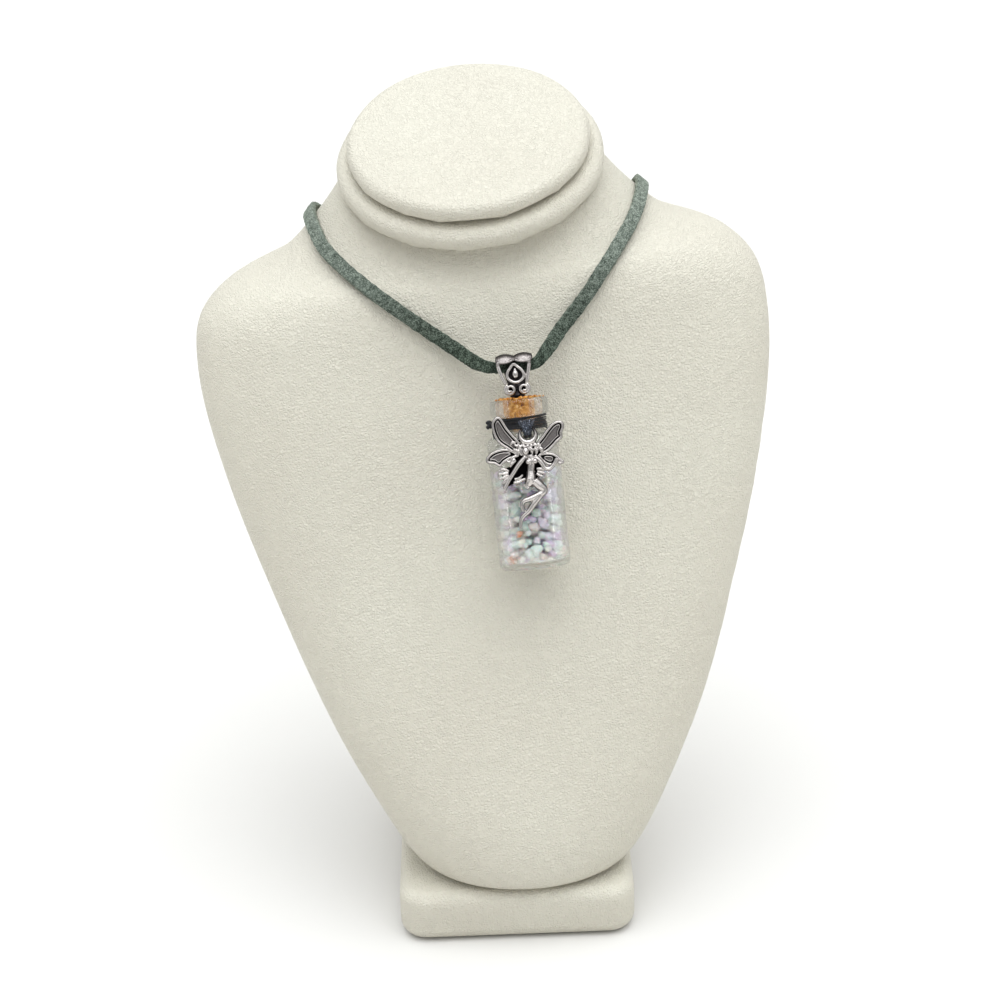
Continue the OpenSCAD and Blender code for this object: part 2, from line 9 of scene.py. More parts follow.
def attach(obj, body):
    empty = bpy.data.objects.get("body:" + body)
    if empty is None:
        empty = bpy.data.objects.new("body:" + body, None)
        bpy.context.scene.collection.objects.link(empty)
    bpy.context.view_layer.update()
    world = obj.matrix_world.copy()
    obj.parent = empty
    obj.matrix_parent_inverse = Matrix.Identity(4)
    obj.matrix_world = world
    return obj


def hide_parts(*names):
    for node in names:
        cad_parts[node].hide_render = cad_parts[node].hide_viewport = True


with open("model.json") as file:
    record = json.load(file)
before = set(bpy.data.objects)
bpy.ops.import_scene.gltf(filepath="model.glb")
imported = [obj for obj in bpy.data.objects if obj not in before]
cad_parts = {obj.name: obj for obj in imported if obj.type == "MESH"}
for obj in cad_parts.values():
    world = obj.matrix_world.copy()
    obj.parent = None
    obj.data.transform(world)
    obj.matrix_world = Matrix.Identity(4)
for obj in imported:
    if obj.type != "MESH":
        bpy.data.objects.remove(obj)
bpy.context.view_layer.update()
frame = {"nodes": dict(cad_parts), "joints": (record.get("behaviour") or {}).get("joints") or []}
nodes = frame["nodes"]
scene = bpy.context.scene
mm = 0.001


def toLinear(hexCode):  # sRGB hex to the linear values that the shaders take
    parts = [int(hexCode[i:i + 2], 16) / 255 for i in (1, 3, 5)]
    return tuple(c / 12.92 if c <= 0.04045 else ((c + 0.055) / 1.055) ** 2.4 for c in parts) + (1.0,)


def addNode(tree, kind, links=None, **settings):  # one node with its settings and its inputs
    node = tree.nodes.new(kind)
    for key, value in settings.items():
        setattr(node, key, value)
    for key, value in (links or {}).items():
        socket = node.inputs[key]
        if isinstance(value, bpy.types.NodeSocket):
            tree.links.new(value, socket)
        else:
            socket.default_value = value
    return node


def newMaterial(name, colour, **values):  # a Principled material with its even values set on the shader
    material = bpy.data.materials.new(name)
    material.use_nodes = True
    shader = material.node_tree.nodes["Principled BSDF"]
    shader.inputs["Base Color"].default_value = toLinear(colour)
    for key, value in values.items():
        shader.inputs[key.replace("_", " ")].default_value = value
    return material, material.node_tree, shader


def setRamp(ramp, stops):
    while len(ramp.elements) < len(stops):
        ramp.elements.new(0.5)
    for element, (spot, colour) in zip(ramp.elements, stops):
        element.position = spot
        element.color = toLinear(colour) if isinstance(colour, str) else (colour, colour, colour, 1)


def addObject(name, data):
    obj = bpy.data.objects.new(name, data)
    scene.collection.objects.link(obj)
    return obj


def addMesh(name, points, faces):
    mesh = bpy.data.meshes.new(name)
    mesh.from_pydata(points, [], faces)
    return addObject(name, mesh)


def deselect():
    if bpy.context.object and bpy.context.object.mode != "OBJECT":
        bpy.ops.object.mode_set(mode="OBJECT")
    bpy.ops.object.select_all(action="DESELECT")


def pick(obj):
    deselect()
    obj.select_set(True)
    bpy.context.view_layer.objects.active = obj
    return obj


def place(obj, matrix=None):  # puts the piece where it belongs, with its place in its mesh
    pick(obj)
    if matrix is not None:
        obj.matrix_world = matrix @ obj.matrix_world
    bpy.ops.object.transform_apply(location=True, rotation=True, scale=True)
    return obj


def applyModifier(obj, kind, **settings):
    pick(obj)
    modifier = obj.modifiers.new("step", kind)
    for key, value in settings.items():
        setattr(modifier, key, value)
    bpy.ops.object.modifier_apply(modifier=modifier.name)
    return obj


def join(parts, name):
    deselect()
    for part in parts:
        part.select_set(True)
    bpy.context.view_layer.objects.active = parts[0]
    if len(parts) > 1:
        bpy.ops.object.join()
    parts[0].name = name
    return parts[0]


def cleanMesh(obj, distance=0.00001):  # doubles merged first, then the normals turned outwards
    pick(obj)
    bpy.ops.object.mode_set(mode="EDIT")
    bpy.ops.mesh.select_all(action="SELECT")
    bpy.ops.mesh.remove_doubles(threshold=distance)
    bpy.ops.mesh.normals_make_consistent(inside=False)
    bpy.ops.object.mode_set(mode="OBJECT")
    return obj


def finish(obj, name, body, material, replaces=(), smooth=True):
    obj.name = name
    obj.data.name = name
    pick(obj)
    if smooth:
        bpy.ops.object.shade_smooth()
    obj.data.materials.clear()
    obj.data.materials.append(material)
    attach(obj, body)
    if replaces:
        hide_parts(*replaces)
    return obj


def copyNode(name, levels):  # a merged and subdivided copy of a CAD node's mesh
    obj = cleanMesh(addObject(name + "Copy", nodes[name].data.copy()), 0.000001)
    bpy.ops.object.mode_set(mode="EDIT")
    bpy.ops.mesh.select_all(action="SELECT")
    bpy.ops.mesh.tris_convert_to_quads(face_threshold=math.radians(50), shape_threshold=math.radians(60))
    bpy.ops.object.mode_set(mode="OBJECT")
    return applyModifier(obj, "SUBSURF", levels=levels, render_levels=levels)


def roughen(obj, size, depth, seed=0.0, bias=None):  # soft unevenness of the surface, or pits where bias is given
    mesh = obj.data
    shift = Vector((seed, seed * 0.7, -seed))
    spots = [v.co.copy() for v in mesh.vertices]
    ways = [v.normal.copy() for v in mesh.vertices]
    flat = []
    for spot, way in zip(spots, ways):
        height = noise.noise(spot / size + shift)
        if bias is not None:
            height = -max(0, height - bias)
        flat.extend(spot + way * depth * height)
    mesh.vertices.foreach_set("co", flat)
    mesh.update()


swing = frame["joints"][0]
hangAt = Vector(swing["pos_m"])
pendant = {"lean": 21.69, "tilt": 4.2, "hook": 42.4}  # degrees back and aside, and mm from base to eye
pendantPlace = (Matrix.Translation(hangAt)
                @ Matrix.Rotation(math.radians(-pendant["tilt"]), 4, "Y")
                @ Matrix.Rotation(math.radians(-pendant["lean"]), 4, "X")
                @ Matrix.Translation((0, 0, -pendant["hook"] * mm)))


def hang(obj, name, material, replaces=(), smooth=True):  # an upright piece, finished on the pendant
    return finish(place(obj, pendantPlace), name, "pendant", material, replaces, smooth)


view = {"from": (0, -0.451, 0.301), "elevation": 25, "roll": 2.2, "lens": 82.1, "shift": (-0.002, 0.001)}


def makeCamera():
    tilt, roll = math.radians(view["elevation"]), math.radians(view["roll"])
    right = Vector((1, 0, 0))
    up = Vector((0, math.sin(tilt), math.cos(tilt)))
    back = Vector((0, -math.cos(tilt), math.sin(tilt)))
    across = right * math.cos(roll) - up * math.sin(roll)
    upright = right * math.sin(roll) + up * math.cos(roll)
    camera = addObject("camera", bpy.data.cameras.new("camera"))
    turn = Matrix((across, upright, back)).transposed().to_4x4()
    camera.matrix_world = Matrix.Translation(view["from"]) @ turn
    camera.data.lens = view["lens"]
    camera.data.sensor_width = 36
    camera.data.shift_x, camera.data.shift_y = view["shift"]
    camera.data.clip_start = 0.01
    scene.camera = camera


makeCamera()
print("camera placed")


def makeLeatherette():
    # White PVC leatherette, embossed: soft pebbles of about 0.7 mm between shallow creases, with a broken dull gloss
    material, tree, shader = newMaterial("whitePvcLeatheretteEmbossed", "#d4d0c3", Roughness=0.5,
                                         Specular_IOR_Level=0.4)
    place3 = addNode(tree, "ShaderNodeTexCoord").outputs["Object"]
    wander = addNode(tree, "ShaderNodeTexNoise", {"Vector": place3, "Scale": 900, "Detail": 1})
    bent = addNode(tree, "ShaderNodeMix", {"Factor": 0.0006, 4: place3, 5: wander.outputs["Color"]},
                   data_type="VECTOR")
    pebbles = addNode(tree, "ShaderNodeTexVoronoi", {"Vector": bent.outputs[1], "Scale": 1500},
                      feature="DISTANCE_TO_EDGE")
    creases = addNode(tree, "ShaderNodeMapRange", {"Value": pebbles.outputs["Distance"], "From Max": 0.28})
    pores = addNode(tree, "ShaderNodeTexNoise", {"Vector": place3, "Scale": 1500, "Detail": 2})
    height = addNode(tree, "ShaderNodeMath", {0: pores.outputs["Fac"], 1: 1.1, 2: creases.outputs[0]},
                     operation="MULTIPLY_ADD")
    wrinkles = addNode(tree, "ShaderNodeTexNoise", {"Vector": bent.outputs[1], "Scale": 650, "Detail": 2})
    relief = addNode(tree, "ShaderNodeMath", {0: wrinkles.outputs["Fac"], 1: 1.6, 2: height.outputs[0]},
                     operation="MULTIPLY_ADD")
    bump = addNode(tree, "ShaderNodeBump", {"Height": relief.outputs[0], "Strength": 0.8, "Distance": 0.00017})
    soil = addNode(tree, "ShaderNodeTexNoise", {"Vector": place3, "Scale": 26, "Detail": 4})
    tone = addNode(tree, "ShaderNodeValToRGB", {"Fac": soil.outputs["Fac"]})
    setRamp(tone.color_ramp, [(0.35, "#d1ccbd"), (0.7, "#d5d1c2")])
    tree.links.new(tone.outputs["Color"], shader.inputs["Base Color"])
    tree.links.new(bump.outputs["Normal"], shader.inputs["Normal"])
    return material


def makeSuede():
    # Grey-green microfibre suede, brushed: a short streaky nap of about 0.3 mm, with painted light from above mixed
    # in by
    # height: pale higher up on the shoulders and darker lower down towards the bail
    material, tree, shader = newMaterial("greyGreenMicrofibreSuedeBrushed", "#4a5350", Roughness=0.95,
                                         Specular_IOR_Level=0.12, Sheen_Weight=0.3, Sheen_Roughness=0.5)
    shader.inputs["Sheen Tint"].default_value = toLinear("#bcc0b0")
    place3 = addNode(tree, "ShaderNodeTexCoord").outputs["Object"]
    nap = addNode(tree, "ShaderNodeTexNoise", {"Vector": place3, "Scale": 3400, "Detail": 3, "Roughness": 0.7})
    patch = addNode(tree, "ShaderNodeTexNoise", {"Vector": place3, "Scale": 900, "Detail": 2})
    mixed = addNode(tree, "ShaderNodeMath", {0: patch.outputs["Fac"], 1: 0.35, 2: nap.outputs["Fac"]},
                    operation="MULTIPLY_ADD")
    # painted light: a dark ramp below and a pale ramp above, mixed by height from 126 mm to 150 mm, stand for shade
    # and light
    paintedLightByHeight = addNode(tree, "ShaderNodeTexGradient", {"Vector": addNode(
        tree, "ShaderNodeMapping", {"Vector": place3, "Location": (-0.126 / 0.024, 0, 0), "Scale": (1, 1, 1 / 0.024),
                                    "Rotation": (0, math.pi / 2, 0)}).outputs[0]})
    shadedAndLitTones = []
    for stops in ([(0.5, "#0d120c"), (0.65, "#29332a"), (0.82, "#5f6b5f")],
                  [(0.5, "#39413a"), (0.65, "#626b62"), (0.82, "#9ba398")]):
        tone = addNode(tree, "ShaderNodeValToRGB", {"Fac": mixed.outputs[0]})
        setRamp(tone.color_ramp, stops)
        shadedAndLitTones.append(tone.outputs["Color"])
    colour = addNode(tree, "ShaderNodeMix", {"Factor": paintedLightByHeight.outputs["Fac"], 6: shadedAndLitTones[0], 7: shadedAndLitTones[1]},
                     data_type="RGBA")
    bump = addNode(tree, "ShaderNodeBump", {"Height": mixed.outputs[0], "Strength": 0.7, "Distance": 0.00015})
    tree.links.new(colour.outputs[2], shader.inputs["Base Color"])
    tree.links.new(bump.outputs["Normal"], shader.inputs["Normal"])
    return material


def makeAntiqueSilver():
    # Cast zinc alloy in antique silver plate, blackened and wiped: bright ridges, black hollows, grey stippled flats,
    # with painted shade on the sides that turn away from the front
    material, tree, shader = newMaterial("castAlloyAntiqueSilverPlated", "#cfc9c4", Metallic=1, Roughness=0.28)
    place3 = addNode(tree, "ShaderNodeTexCoord").outputs["Object"]
    patinaAndSideShade = addNode(tree, "ShaderNodeAttribute", attribute_name="patinaAndSideShade")
    cloud = addNode(tree, "ShaderNodeTexNoise", {"Vector": place3, "Scale": 3600, "Detail": 3})
    shift = addNode(tree, "ShaderNodeMath", {0: cloud.outputs["Fac"], 1: 0.36, 2: -0.18}, operation="MULTIPLY_ADD")
    mixed = addNode(tree, "ShaderNodeMath", {0: patinaAndSideShade.outputs["Fac"], 1: shift.outputs[0]}, operation="ADD")
    tone = addNode(tree, "ShaderNodeValToRGB", {"Fac": mixed.outputs[0]})
    setRamp(tone.color_ramp, [(0.04, "#d3cdc8"), (0.3, "#8c8683"), (0.54, "#423d3e"), (0.8, "#0e0c0d")])
    dull = addNode(tree, "ShaderNodeMapRange", {"Value": mixed.outputs[0], "To Min": 0.24, "To Max": 0.7})
    bump = addNode(tree, "ShaderNodeBump", {"Height": cloud.outputs["Fac"], "Strength": 0.35, "Distance": 0.00006})
    tree.links.new(tone.outputs["Color"], shader.inputs["Base Color"])
    tree.links.new(dull.outputs[0], shader.inputs["Roughness"])
    tree.links.new(bump.outputs["Normal"], shader.inputs["Normal"])
    return material


def makeSilverPlate():
    # Brass turned and silver plated: even and bright, with a fine turned grain
    material, tree, shader = newMaterial("turnedBrassSilverPlated", "#d2d0cc", Metallic=1, Roughness=0.25)
    place3 = addNode(tree, "ShaderNodeTexCoord").outputs["Object"]
    grain = addNode(tree, "ShaderNodeTexNoise", {"Vector": addNode(
        tree, "ShaderNodeMapping", {"Vector": place3, "Scale": (9000, 300, 300)}).outputs[0],
        "Scale": 1, "Detail": 2})
    dull = addNode(tree, "ShaderNodeMapRange", {"Value": grain.outputs["Fac"], "To Min": 0.18, "To Max": 0.36})
    tree.links.new(dull.outputs[0], shader.inputs["Roughness"])
    return material


def makeCork():
    # Natural cork, punched: warm grains of about 0.5 mm with dark pits between them
    material, tree, shader = newMaterial("naturalCorkPunched", "#c8893f", Roughness=0.85, Specular_IOR_Level=0.25)
    place3 = addNode(tree, "ShaderNodeTexCoord").outputs["Object"]
    grain = addNode(tree, "ShaderNodeTexVoronoi", {"Vector": place3, "Scale": 1900, "Randomness": 1})
    pits = addNode(tree, "ShaderNodeTexNoise", {"Vector": place3, "Scale": 1500, "Detail": 3, "Roughness": 0.65})
    mixed = addNode(tree, "ShaderNodeMath", {0: grain.outputs["Color"], 1: pits.outputs["Fac"]},
                    operation="MULTIPLY")
    tone = addNode(tree, "ShaderNodeValToRGB", {"Fac": mixed.outputs[0]})
    setRamp(tone.color_ramp, [(0.05, "#5a2808"), (0.15, "#b4702a"), (0.34, "#dba04f"), (0.6, "#f4d39c")])
    bump = addNode(tree, "ShaderNodeBump", {"Height": grain.outputs["Distance"], "Strength": 0.6,
                                            "Distance": 0.0002}, invert=True)
    tree.links.new(tone.outputs["Color"], shader.inputs["Base Color"])
    tree.links.new(bump.outputs["Normal"], shader.inputs["Normal"])
    return material


def makeGlass():
    # Clear soda-lime glass, blown: thin and bright, with over half let straight through to keep the chips inside lit
    return newMaterial("clearSodaLimeGlassBlown", "#fbfefd", Roughness=0.02, IOR=1.5, Transmission_Weight=1,
                       Alpha=0.42)[0]


def makeStone():
    # Tumbled fluorite and amethyst chips: cloudy and milky, pale green, lilac, cream and a few rust ones
    material, tree, shader = newMaterial("tumbledFluoriteAndAmethystChips", "#e2e6e2", Roughness=0.16, IOR=1.45,
                                         Transmission_Weight=0.1, Subsurface_Weight=0.25, Subsurface_Scale=0.0008)
    place3 = addNode(tree, "ShaderNodeTexCoord").outputs["Object"]
    tint = addNode(tree, "ShaderNodeAttribute", attribute_name="chipTint")
    tone = addNode(tree, "ShaderNodeValToRGB", {"Fac": tint.outputs["Fac"]})
    tone.color_ramp.interpolation = "CONSTANT"
    setRamp(tone.color_ramp, [(0.0, "#e4efe8"), (0.15, "#ece2ee"), (0.33, "#f8f4ea"), (0.5, "#d6c2dc"),
                              (0.65, "#f5f6f1"), (0.78, "#ecdfda"), (0.89, "#d3e4da"), (0.975, "#d8936a"),
                              (0.99, "#6a4a4c")])
    cloud = addNode(tree, "ShaderNodeTexNoise", {"Vector": place3, "Scale": 900, "Detail": 3})
    mixed = addNode(tree, "ShaderNodeMix", {"Factor": addNode(
        tree, "ShaderNodeMapRange", {"Value": cloud.outputs["Fac"], "From Min": 0.45, "From Max": 0.75,
                                     "To Max": 0.6}).outputs[0],
        6: tone.outputs["Color"], 7: toLinear("#f2f3ef")}, data_type="RGBA")
    bump = addNode(tree, "ShaderNodeBump", {"Height": cloud.outputs["Fac"], "Strength": 0.3, "Distance": 0.0001})
    tree.links.new(mixed.outputs[2], shader.inputs["Base Color"])
    tree.links.new(bump.outputs["Normal"], shader.inputs["Normal"])
    return material


def makeThread(name, dark, middle, bright, gloss):
    # Waxed linen thread, twisted: a waxy glint along each strand of 0.3 to 0.6 mm
    material, tree, shader = newMaterial(name, middle, Roughness=gloss, Specular_IOR_Level=0.4)
    place3 = addNode(tree, "ShaderNodeTexCoord").outputs["Object"]
    fibre = addNode(tree, "ShaderNodeTexNoise", {"Vector": place3, "Scale": 3800, "Detail": 3})
    tone = addNode(tree, "ShaderNodeValToRGB", {"Fac": fibre.outputs["Fac"]})
    setRamp(tone.color_ramp, [(0.35, dark), (0.58, middle), (0.75, bright)])
    bump = addNode(tree, "ShaderNodeBump", {"Height": fibre.outputs["Fac"], "Strength": 0.5, "Distance": 0.0001})
    tree.links.new(tone.outputs["Color"], shader.inputs["Base Color"])
    tree.links.new(bump.outputs["Normal"], shader.inputs["Normal"])
    return material


leatherette = makeLeatherette()
suede = makeSuede()
antiqueSilver = makeAntiqueSilver()
silverPlate = makeSilverPlate()
corkFinish = makeCork()
glass = makeGlass()
stone = makeStone()
threadFinish = makeThread("blackLinenThreadWaxed", "#050506", "#0e0f12", "#3c414c", 0.45)
tieFinish = makeThread("greyBlueLinenThreadWaxed", "#0d0f14", "#303743", "#a9b2c2", 0.22)
print("materials made")


neck = {"centre": (-3.93338, 33.065, 155.526), "slope": 20.98, "turn": 3, "bend": 4.5}
neckPlace = (Matrix.Translation(Vector(neck["centre"]) * mm)
             @ Matrix.Rotation(math.radians(neck["turn"]), 4, "Z")
             @ Matrix.Rotation(math.radians(-neck["bend"]), 4, "Y")
             @ Matrix.Rotation(math.radians(neck["slope"]), 4, "X"))


def makeBust():
    obj = copyNode("bust_body", 2)
    roughen(obj, 0.03, 0.0003, 3)
    return finish(obj, "bust", "stand", leatherette, ["bust_body"])


def pullFlats(obj, folds, seed, low, high):  # the leatherette is pulled round the edge in short flats between folds
    random.seed(seed)
    step = math.tau / folds
    angles = [step * (i + random.uniform(-0.28, 0.28)) for i in range(folds)]
    angles.append(angles[0] + math.tau)
    for vertex in obj.data.vertices:
        x, y, z = vertex.co
        r = math.hypot(x, y)
        share = min(1, max(0, (high * mm - z) / (high - low) / mm))
        if r < 0.015 or share == 0:
            continue
        a = angles[0] + (math.atan2(y, x) - angles[0]) % math.tau
        for start, end in zip(angles, angles[1:]):
            if start <= a <= end:
                half, off = (end - start) / 2, abs(a - (start + end) / 2)
                pull = (1 - math.cos(half) / math.cos(off)) * share * 0.9
                vertex.co.x -= x * pull
                vertex.co.y -= y * pull
                vertex.co.z -= 0.00035 * share * (off / half) ** 6


def makeDrum(size, rings):  # a round block with a rolled edge, its sizes in mm
    bpy.ops.mesh.primitive_cylinder_add(vertices=180, radius=size["wide"] / 2 * mm, depth=size["thick"] * mm,
                                        location=(0, 0, (size["low"] + size["thick"] / 2) * mm), end_fill_type="NGON")
    return applyModifier(place(bpy.context.object), "BEVEL", width=size["thick"] / 2 * 0.9 * mm, segments=rings,
                         limit_method="ANGLE")


rim = {"wide": 58.6, "thick": 5.4, "low": 0.4, "folds": 15, "pull": 0.45}


def makeRim():
    obj = makeDrum(rim, 10)
    pullFlats(obj, rim["folds"], 4, rim["low"], rim["low"] + rim["thick"] * rim["pull"])
    place(obj, neckPlace)
    roughen(obj, 0.012, 0.00022, 1)
    return finish(obj, "rolledRim", "stand", leatherette, ["neck_rim"])


cap = {"wide": 52.8, "thick": 4.4, "low": 6.05, "crown": 1.0, "folds": 14, "pull": 0.36, "rings": 9, "step": 2.3}


def makeCap():
    obj = makeDrum(cap, 9)
    mesh = obj.data
    bpy.ops.object.mode_set(mode="EDIT")
    bpy.ops.mesh.select_mode(type="FACE")
    bpy.ops.mesh.select_all(action="DESELECT")
    bpy.ops.object.mode_set(mode="OBJECT")
    top = max(mesh.polygons, key=lambda face: face.center.z * (len(face.vertices) > 20))
    top.select = True
    bpy.ops.object.mode_set(mode="EDIT")
    for _ in range(cap["rings"]):  # rings over the top, which the crown then lifts
        bpy.ops.mesh.inset(thickness=cap["step"] * mm, depth=0)
    bpy.ops.object.mode_set(mode="OBJECT")
    edge = (cap["wide"] - cap["thick"]) / 2 * mm
    for vertex in mesh.vertices:
        r = math.hypot(vertex.co.x, vertex.co.y)
        if vertex.co.z > (cap["low"] + cap["thick"] * 0.6) * mm and r < edge:
            vertex.co.z += cap["crown"] * mm * (1 - (r / edge) ** 2)
    pullFlats(obj, cap["folds"], 9, cap["low"], cap["low"] + cap["thick"] * cap["pull"])
    place(obj, neckPlace)
    roughen(obj, 0.014, 0.00025, 5)
    return finish(obj, "coveredDisc", "stand", leatherette, ["neck_cap"])


base = {"wide": 52, "deep": 70, "high": 12, "round": 3, "corner": 6}


def makeFoot():
    bpy.ops.mesh.primitive_cube_add(size=1, location=(0, 0, base["high"] / 2 * mm),
                                    scale=(base["wide"] * mm, base["deep"] * mm, base["high"] * mm))
    obj = place(bpy.context.object)
    bpy.ops.object.mode_set(mode="EDIT")
    bpy.ops.mesh.select_all(action="DESELECT")
    bpy.ops.object.mode_set(mode="OBJECT")
    for edge in obj.data.edges:  # the four upright edges
        a, b = (obj.data.vertices[i].co for i in edge.vertices)
        edge.select = abs(a.z - b.z) > base["high"] / 2 * mm
    bpy.ops.object.mode_set(mode="EDIT")
    bpy.ops.mesh.select_mode(type="EDGE")
    bpy.ops.mesh.bevel(offset=base["corner"] * mm, segments=8, affect="EDGES")
    bpy.ops.object.mode_set(mode="OBJECT")
    applyModifier(obj, "BEVEL", width=base["round"] * mm, segments=7, limit_method="ANGLE",
                  angle_limit=math.radians(60))
    return finish(obj, "foot_block", "stand", leatherette, ["foot"])


makeBust()
makeRim()
makeCap()
makeFoot()
print("bust made")


lace = {"wide": 0.003, "thick": 0.0014, "pinch": 0.8, "sides": 16, "square": 0.3}
laceRoute = [
    (-7.05, 52, 22), (-10.5, 52, 22.5), (-15.5, 52, 26), (-20.5, 52, 37), (-26.5, 52, 68), (-31, 52, 105),
    (-34.5, 52, 132), (-36.5, 50.3, 139.6), (-39, 45.8, 143.6), (-40.2, 39.5, 146.2),
    (-39.9, 32, 146.8), (-38.4, 25, 145.6), (-35.9, 18.3, 143.4), (-30.4, 10.7, 140.3),
    (-24.6, 5.1, 137.2), (-18.6, 2.5, 133.3), (-12.5, 0.8, 129.2), (-8, -1.4, 126.6),
    (-4.2, -4.5, 124.9), (-0.6, -6.4, 124.5), (3.7, -6.7, 124.9), (8, -6.3, 125.2), (10.9, -3.3, 127.2),
    (13.7, 1.3, 129.5), (16.9, 3.4, 132.8), (20, 5.3, 136.2), (22.7, 7.5, 139.5), (25.3, 10.6, 142.2),
    (28, 15.6, 144.6), (30.5, 20.8, 146.9), (32.5, 27.3, 149.2), (33.7, 36, 150.3),
    (33.5, 43.8, 148.3), (32.7, 49.7, 143.6), (31.5, 52, 134), (29.5, 52, 105), (25.5, 52, 68),
    (20, 52, 37), (14, 52, 23.7), (7.05, 52, 22)]


def smoothPath(points, steps, closed=False):  # a Catmull-Rom curve through the points, open or round
    out, last = [], len(points) - 1
    for i in range(last + closed):
        near = [k % len(points) if closed else min(max(k, 0), last) for k in (i - 1, i, i + 1, i + 2)]
        a, b, c, d = (Vector(points[k]) for k in near)
        for k in range(steps):
            t = k / steps
            out.append(0.5 * (2 * b + (c - a) * t + (2 * a - 5 * b + 4 * c - d) * t * t
                              + (3 * b - a - 3 * c + d) * t ** 3))
    return out if closed else out + [Vector(points[-1])]


def laceFacing(path):  # where the flat side of the lace looks, from the chest under it
    shell = nodes["bust_body"].data
    tree = BVHTree.FromPolygons([v.co for v in shell.vertices], [p.vertices for p in shell.polygons])
    ways = [tree.find_nearest(p)[1] for p in path]
    for _ in range(10):
        ways = [(ways[max(i - 1, 0)] + ways[i] * 2 + ways[min(i + 1, len(ways) - 1)]).normalized()
                for i in range(len(ways))]
    return ways


def makeLace():
    path = [p * mm for p in smoothPath(laceRoute, 12)]
    length = sum((b - a).length for a, b in zip(path, path[1:]))
    ways, last = laceFacing(path), len(path) - 1
    sides, points, faces = lace["sides"], [], []
    for i, (p, way) in enumerate(zip(path, ways)):
        along = (path[min(i + 1, last)] - path[max(i - 1, 0)]).normalized()
        side = along.cross(way).normalized()
        up = side.cross(along)
        away = (p - hangAt).length / lace["wide"] / 1.5
        swell = lace["pinch"] + (1 - lace["pinch"]) * min(1, max(0, away - 1))
        for j in range(sides):
            a = math.tau * (j + 0.5) / sides
            across = math.copysign(abs(math.cos(a)) ** lace["square"], math.cos(a)) * lace["wide"] / 2 * swell
            proud = math.copysign(abs(math.sin(a)) ** lace["square"], math.sin(a)) * lace["thick"] / 2 * swell
            points.append(p + side * across + up * proud)
        if i:
            b = (i - 1) * sides
            faces += [(b + j, b + (j + 1) % sides, b + sides + (j + 1) % sides, b + sides + j) for j in range(sides)]
    faces += [tuple(range(sides - 1, -1, -1)), tuple(range(last * sides, (last + 1) * sides))]
    obj = cleanMesh(addMesh("lace", points, faces))
    applyModifier(obj, "SUBSURF", levels=1, render_levels=1)
    roughen(obj, 0.0005, 0.00013, 2)
    roughen(obj, 0.0014, 0.00012, 7)
    finish(obj, "suedeLace", "stand", suede, ["cord"])
    return obj, path[::3], length


barrel = {"wide": 5, "long": 13.8, "at": (0, 52, 22), "round": 0.6}


def makeClasp():
    bpy.ops.mesh.primitive_cylinder_add(vertices=48, radius=barrel["wide"] / 2 * mm, depth=barrel["long"] * mm,
                                        location=Vector(barrel["at"]) * mm, rotation=(0, math.pi / 2, 0))
    obj = place(bpy.context.object)
    applyModifier(obj, "BEVEL", width=barrel["round"] * mm, segments=4, limit_method="ANGLE")
    cleanMesh(obj)
    return finish(obj, "barrelClasp", "stand", silverPlate, ["clasp"])


suedeLace, lacePath, laceLength = makeLace()
barrelClasp = makeClasp()
print("lace made", round(laceLength, 4))


vial = {"wide": 15, "high": 35.5, "wall": 0.6, "floor": 1.1, "neckWide": 9.4, "neckLow": 28.9, "lipLow": 31.9,
        "lipWide": 12.3, "mouth": 6.9, "shoulder": 25.7}


def arcPoints(x, z, r, start, end, steps):
    return [(x + r * math.cos(math.radians(start + (end - start) * i / steps)),
             z + r * math.sin(math.radians(start + (end - start) * i / steps))) for i in range(steps + 1)]


def outlineCurve(points, solid=0):  # a chain of points in mm, or a filled plate of some thickness, as a mesh
    curve = bpy.data.curves.new("outline", "CURVE")
    curve.dimensions = "2D" if solid else "3D"
    spline = curve.splines.new("POLY")
    spline.points.add(len(points) - 1)
    for knot, (x, z) in zip(spline.points, points):
        knot.co = (x * mm, z * mm, 0, 1)
    if solid:
        spline.use_cyclic_u = True
        curve.fill_mode = "BOTH"
        curve.extrude = solid / 2 * mm
    pick(addObject("outline", curve))
    bpy.ops.object.convert(target="MESH")
    return place(bpy.context.object, Matrix.Rotation(math.pi / 2, 4, "X"))


def spinProfile(points, steps=128):  # turns a half outline in mm round the upright axis
    obj = outlineCurve(points)
    bpy.ops.object.mode_set(mode="EDIT")
    bpy.ops.mesh.select_all(action="SELECT")
    bpy.ops.mesh.spin(steps=steps, angle=math.tau, center=(0, 0, 0), axis=(0, 0, 1))
    bpy.ops.object.mode_set(mode="OBJECT")
    return cleanMesh(obj, 0.0000005)


def makeVial():
    r, neckR, mouth, lip = vial["wide"] / 2, vial["neckWide"] / 2, vial["mouth"] / 2, vial["lipWide"] / 2
    bend = (r - neckR + vial["neckLow"] - vial["shoulder"]) / 2
    points = ([(0, 0.35), (4.6, 0.25), (5.6, 0.02)] + arcPoints(r - 1.2, 1.2, 1.2, -90, 0, 7)
              + arcPoints(r - bend, vial["shoulder"], bend, 0, 60, 8)
              + arcPoints(neckR + 0.6, vial["neckLow"] + 0.2, 0.6, -110, -180, 4)
              + [(neckR, vial["lipLow"])]
              + arcPoints(lip - 0.8, vial["lipLow"] + 0.8, 0.8, -90, 0, 6)
              + arcPoints(lip - 0.8, vial["high"] - 0.8, 0.8, 0, 90, 6)
              + arcPoints(mouth + 0.4, vial["high"] - 0.4, 0.4, 90, 180, 5)
              + [(mouth, vial["neckLow"] - 0.4)]
              + arcPoints(r - vial["wall"] - bend, vial["shoulder"] - 0.6, bend, 55, 0, 7)
              + arcPoints(r - vial["wall"] - 1.6, vial["floor"] + 1.6, 1.6, 0, -90, 6)
              + [(0, vial["floor"] + 0.2)])
    return hang(spinProfile(points), "glassVial", glass, ["bottle"])


stopper = {"low": 29.3, "high": 35.7, "wide": 6.7, "taper": 0.045}


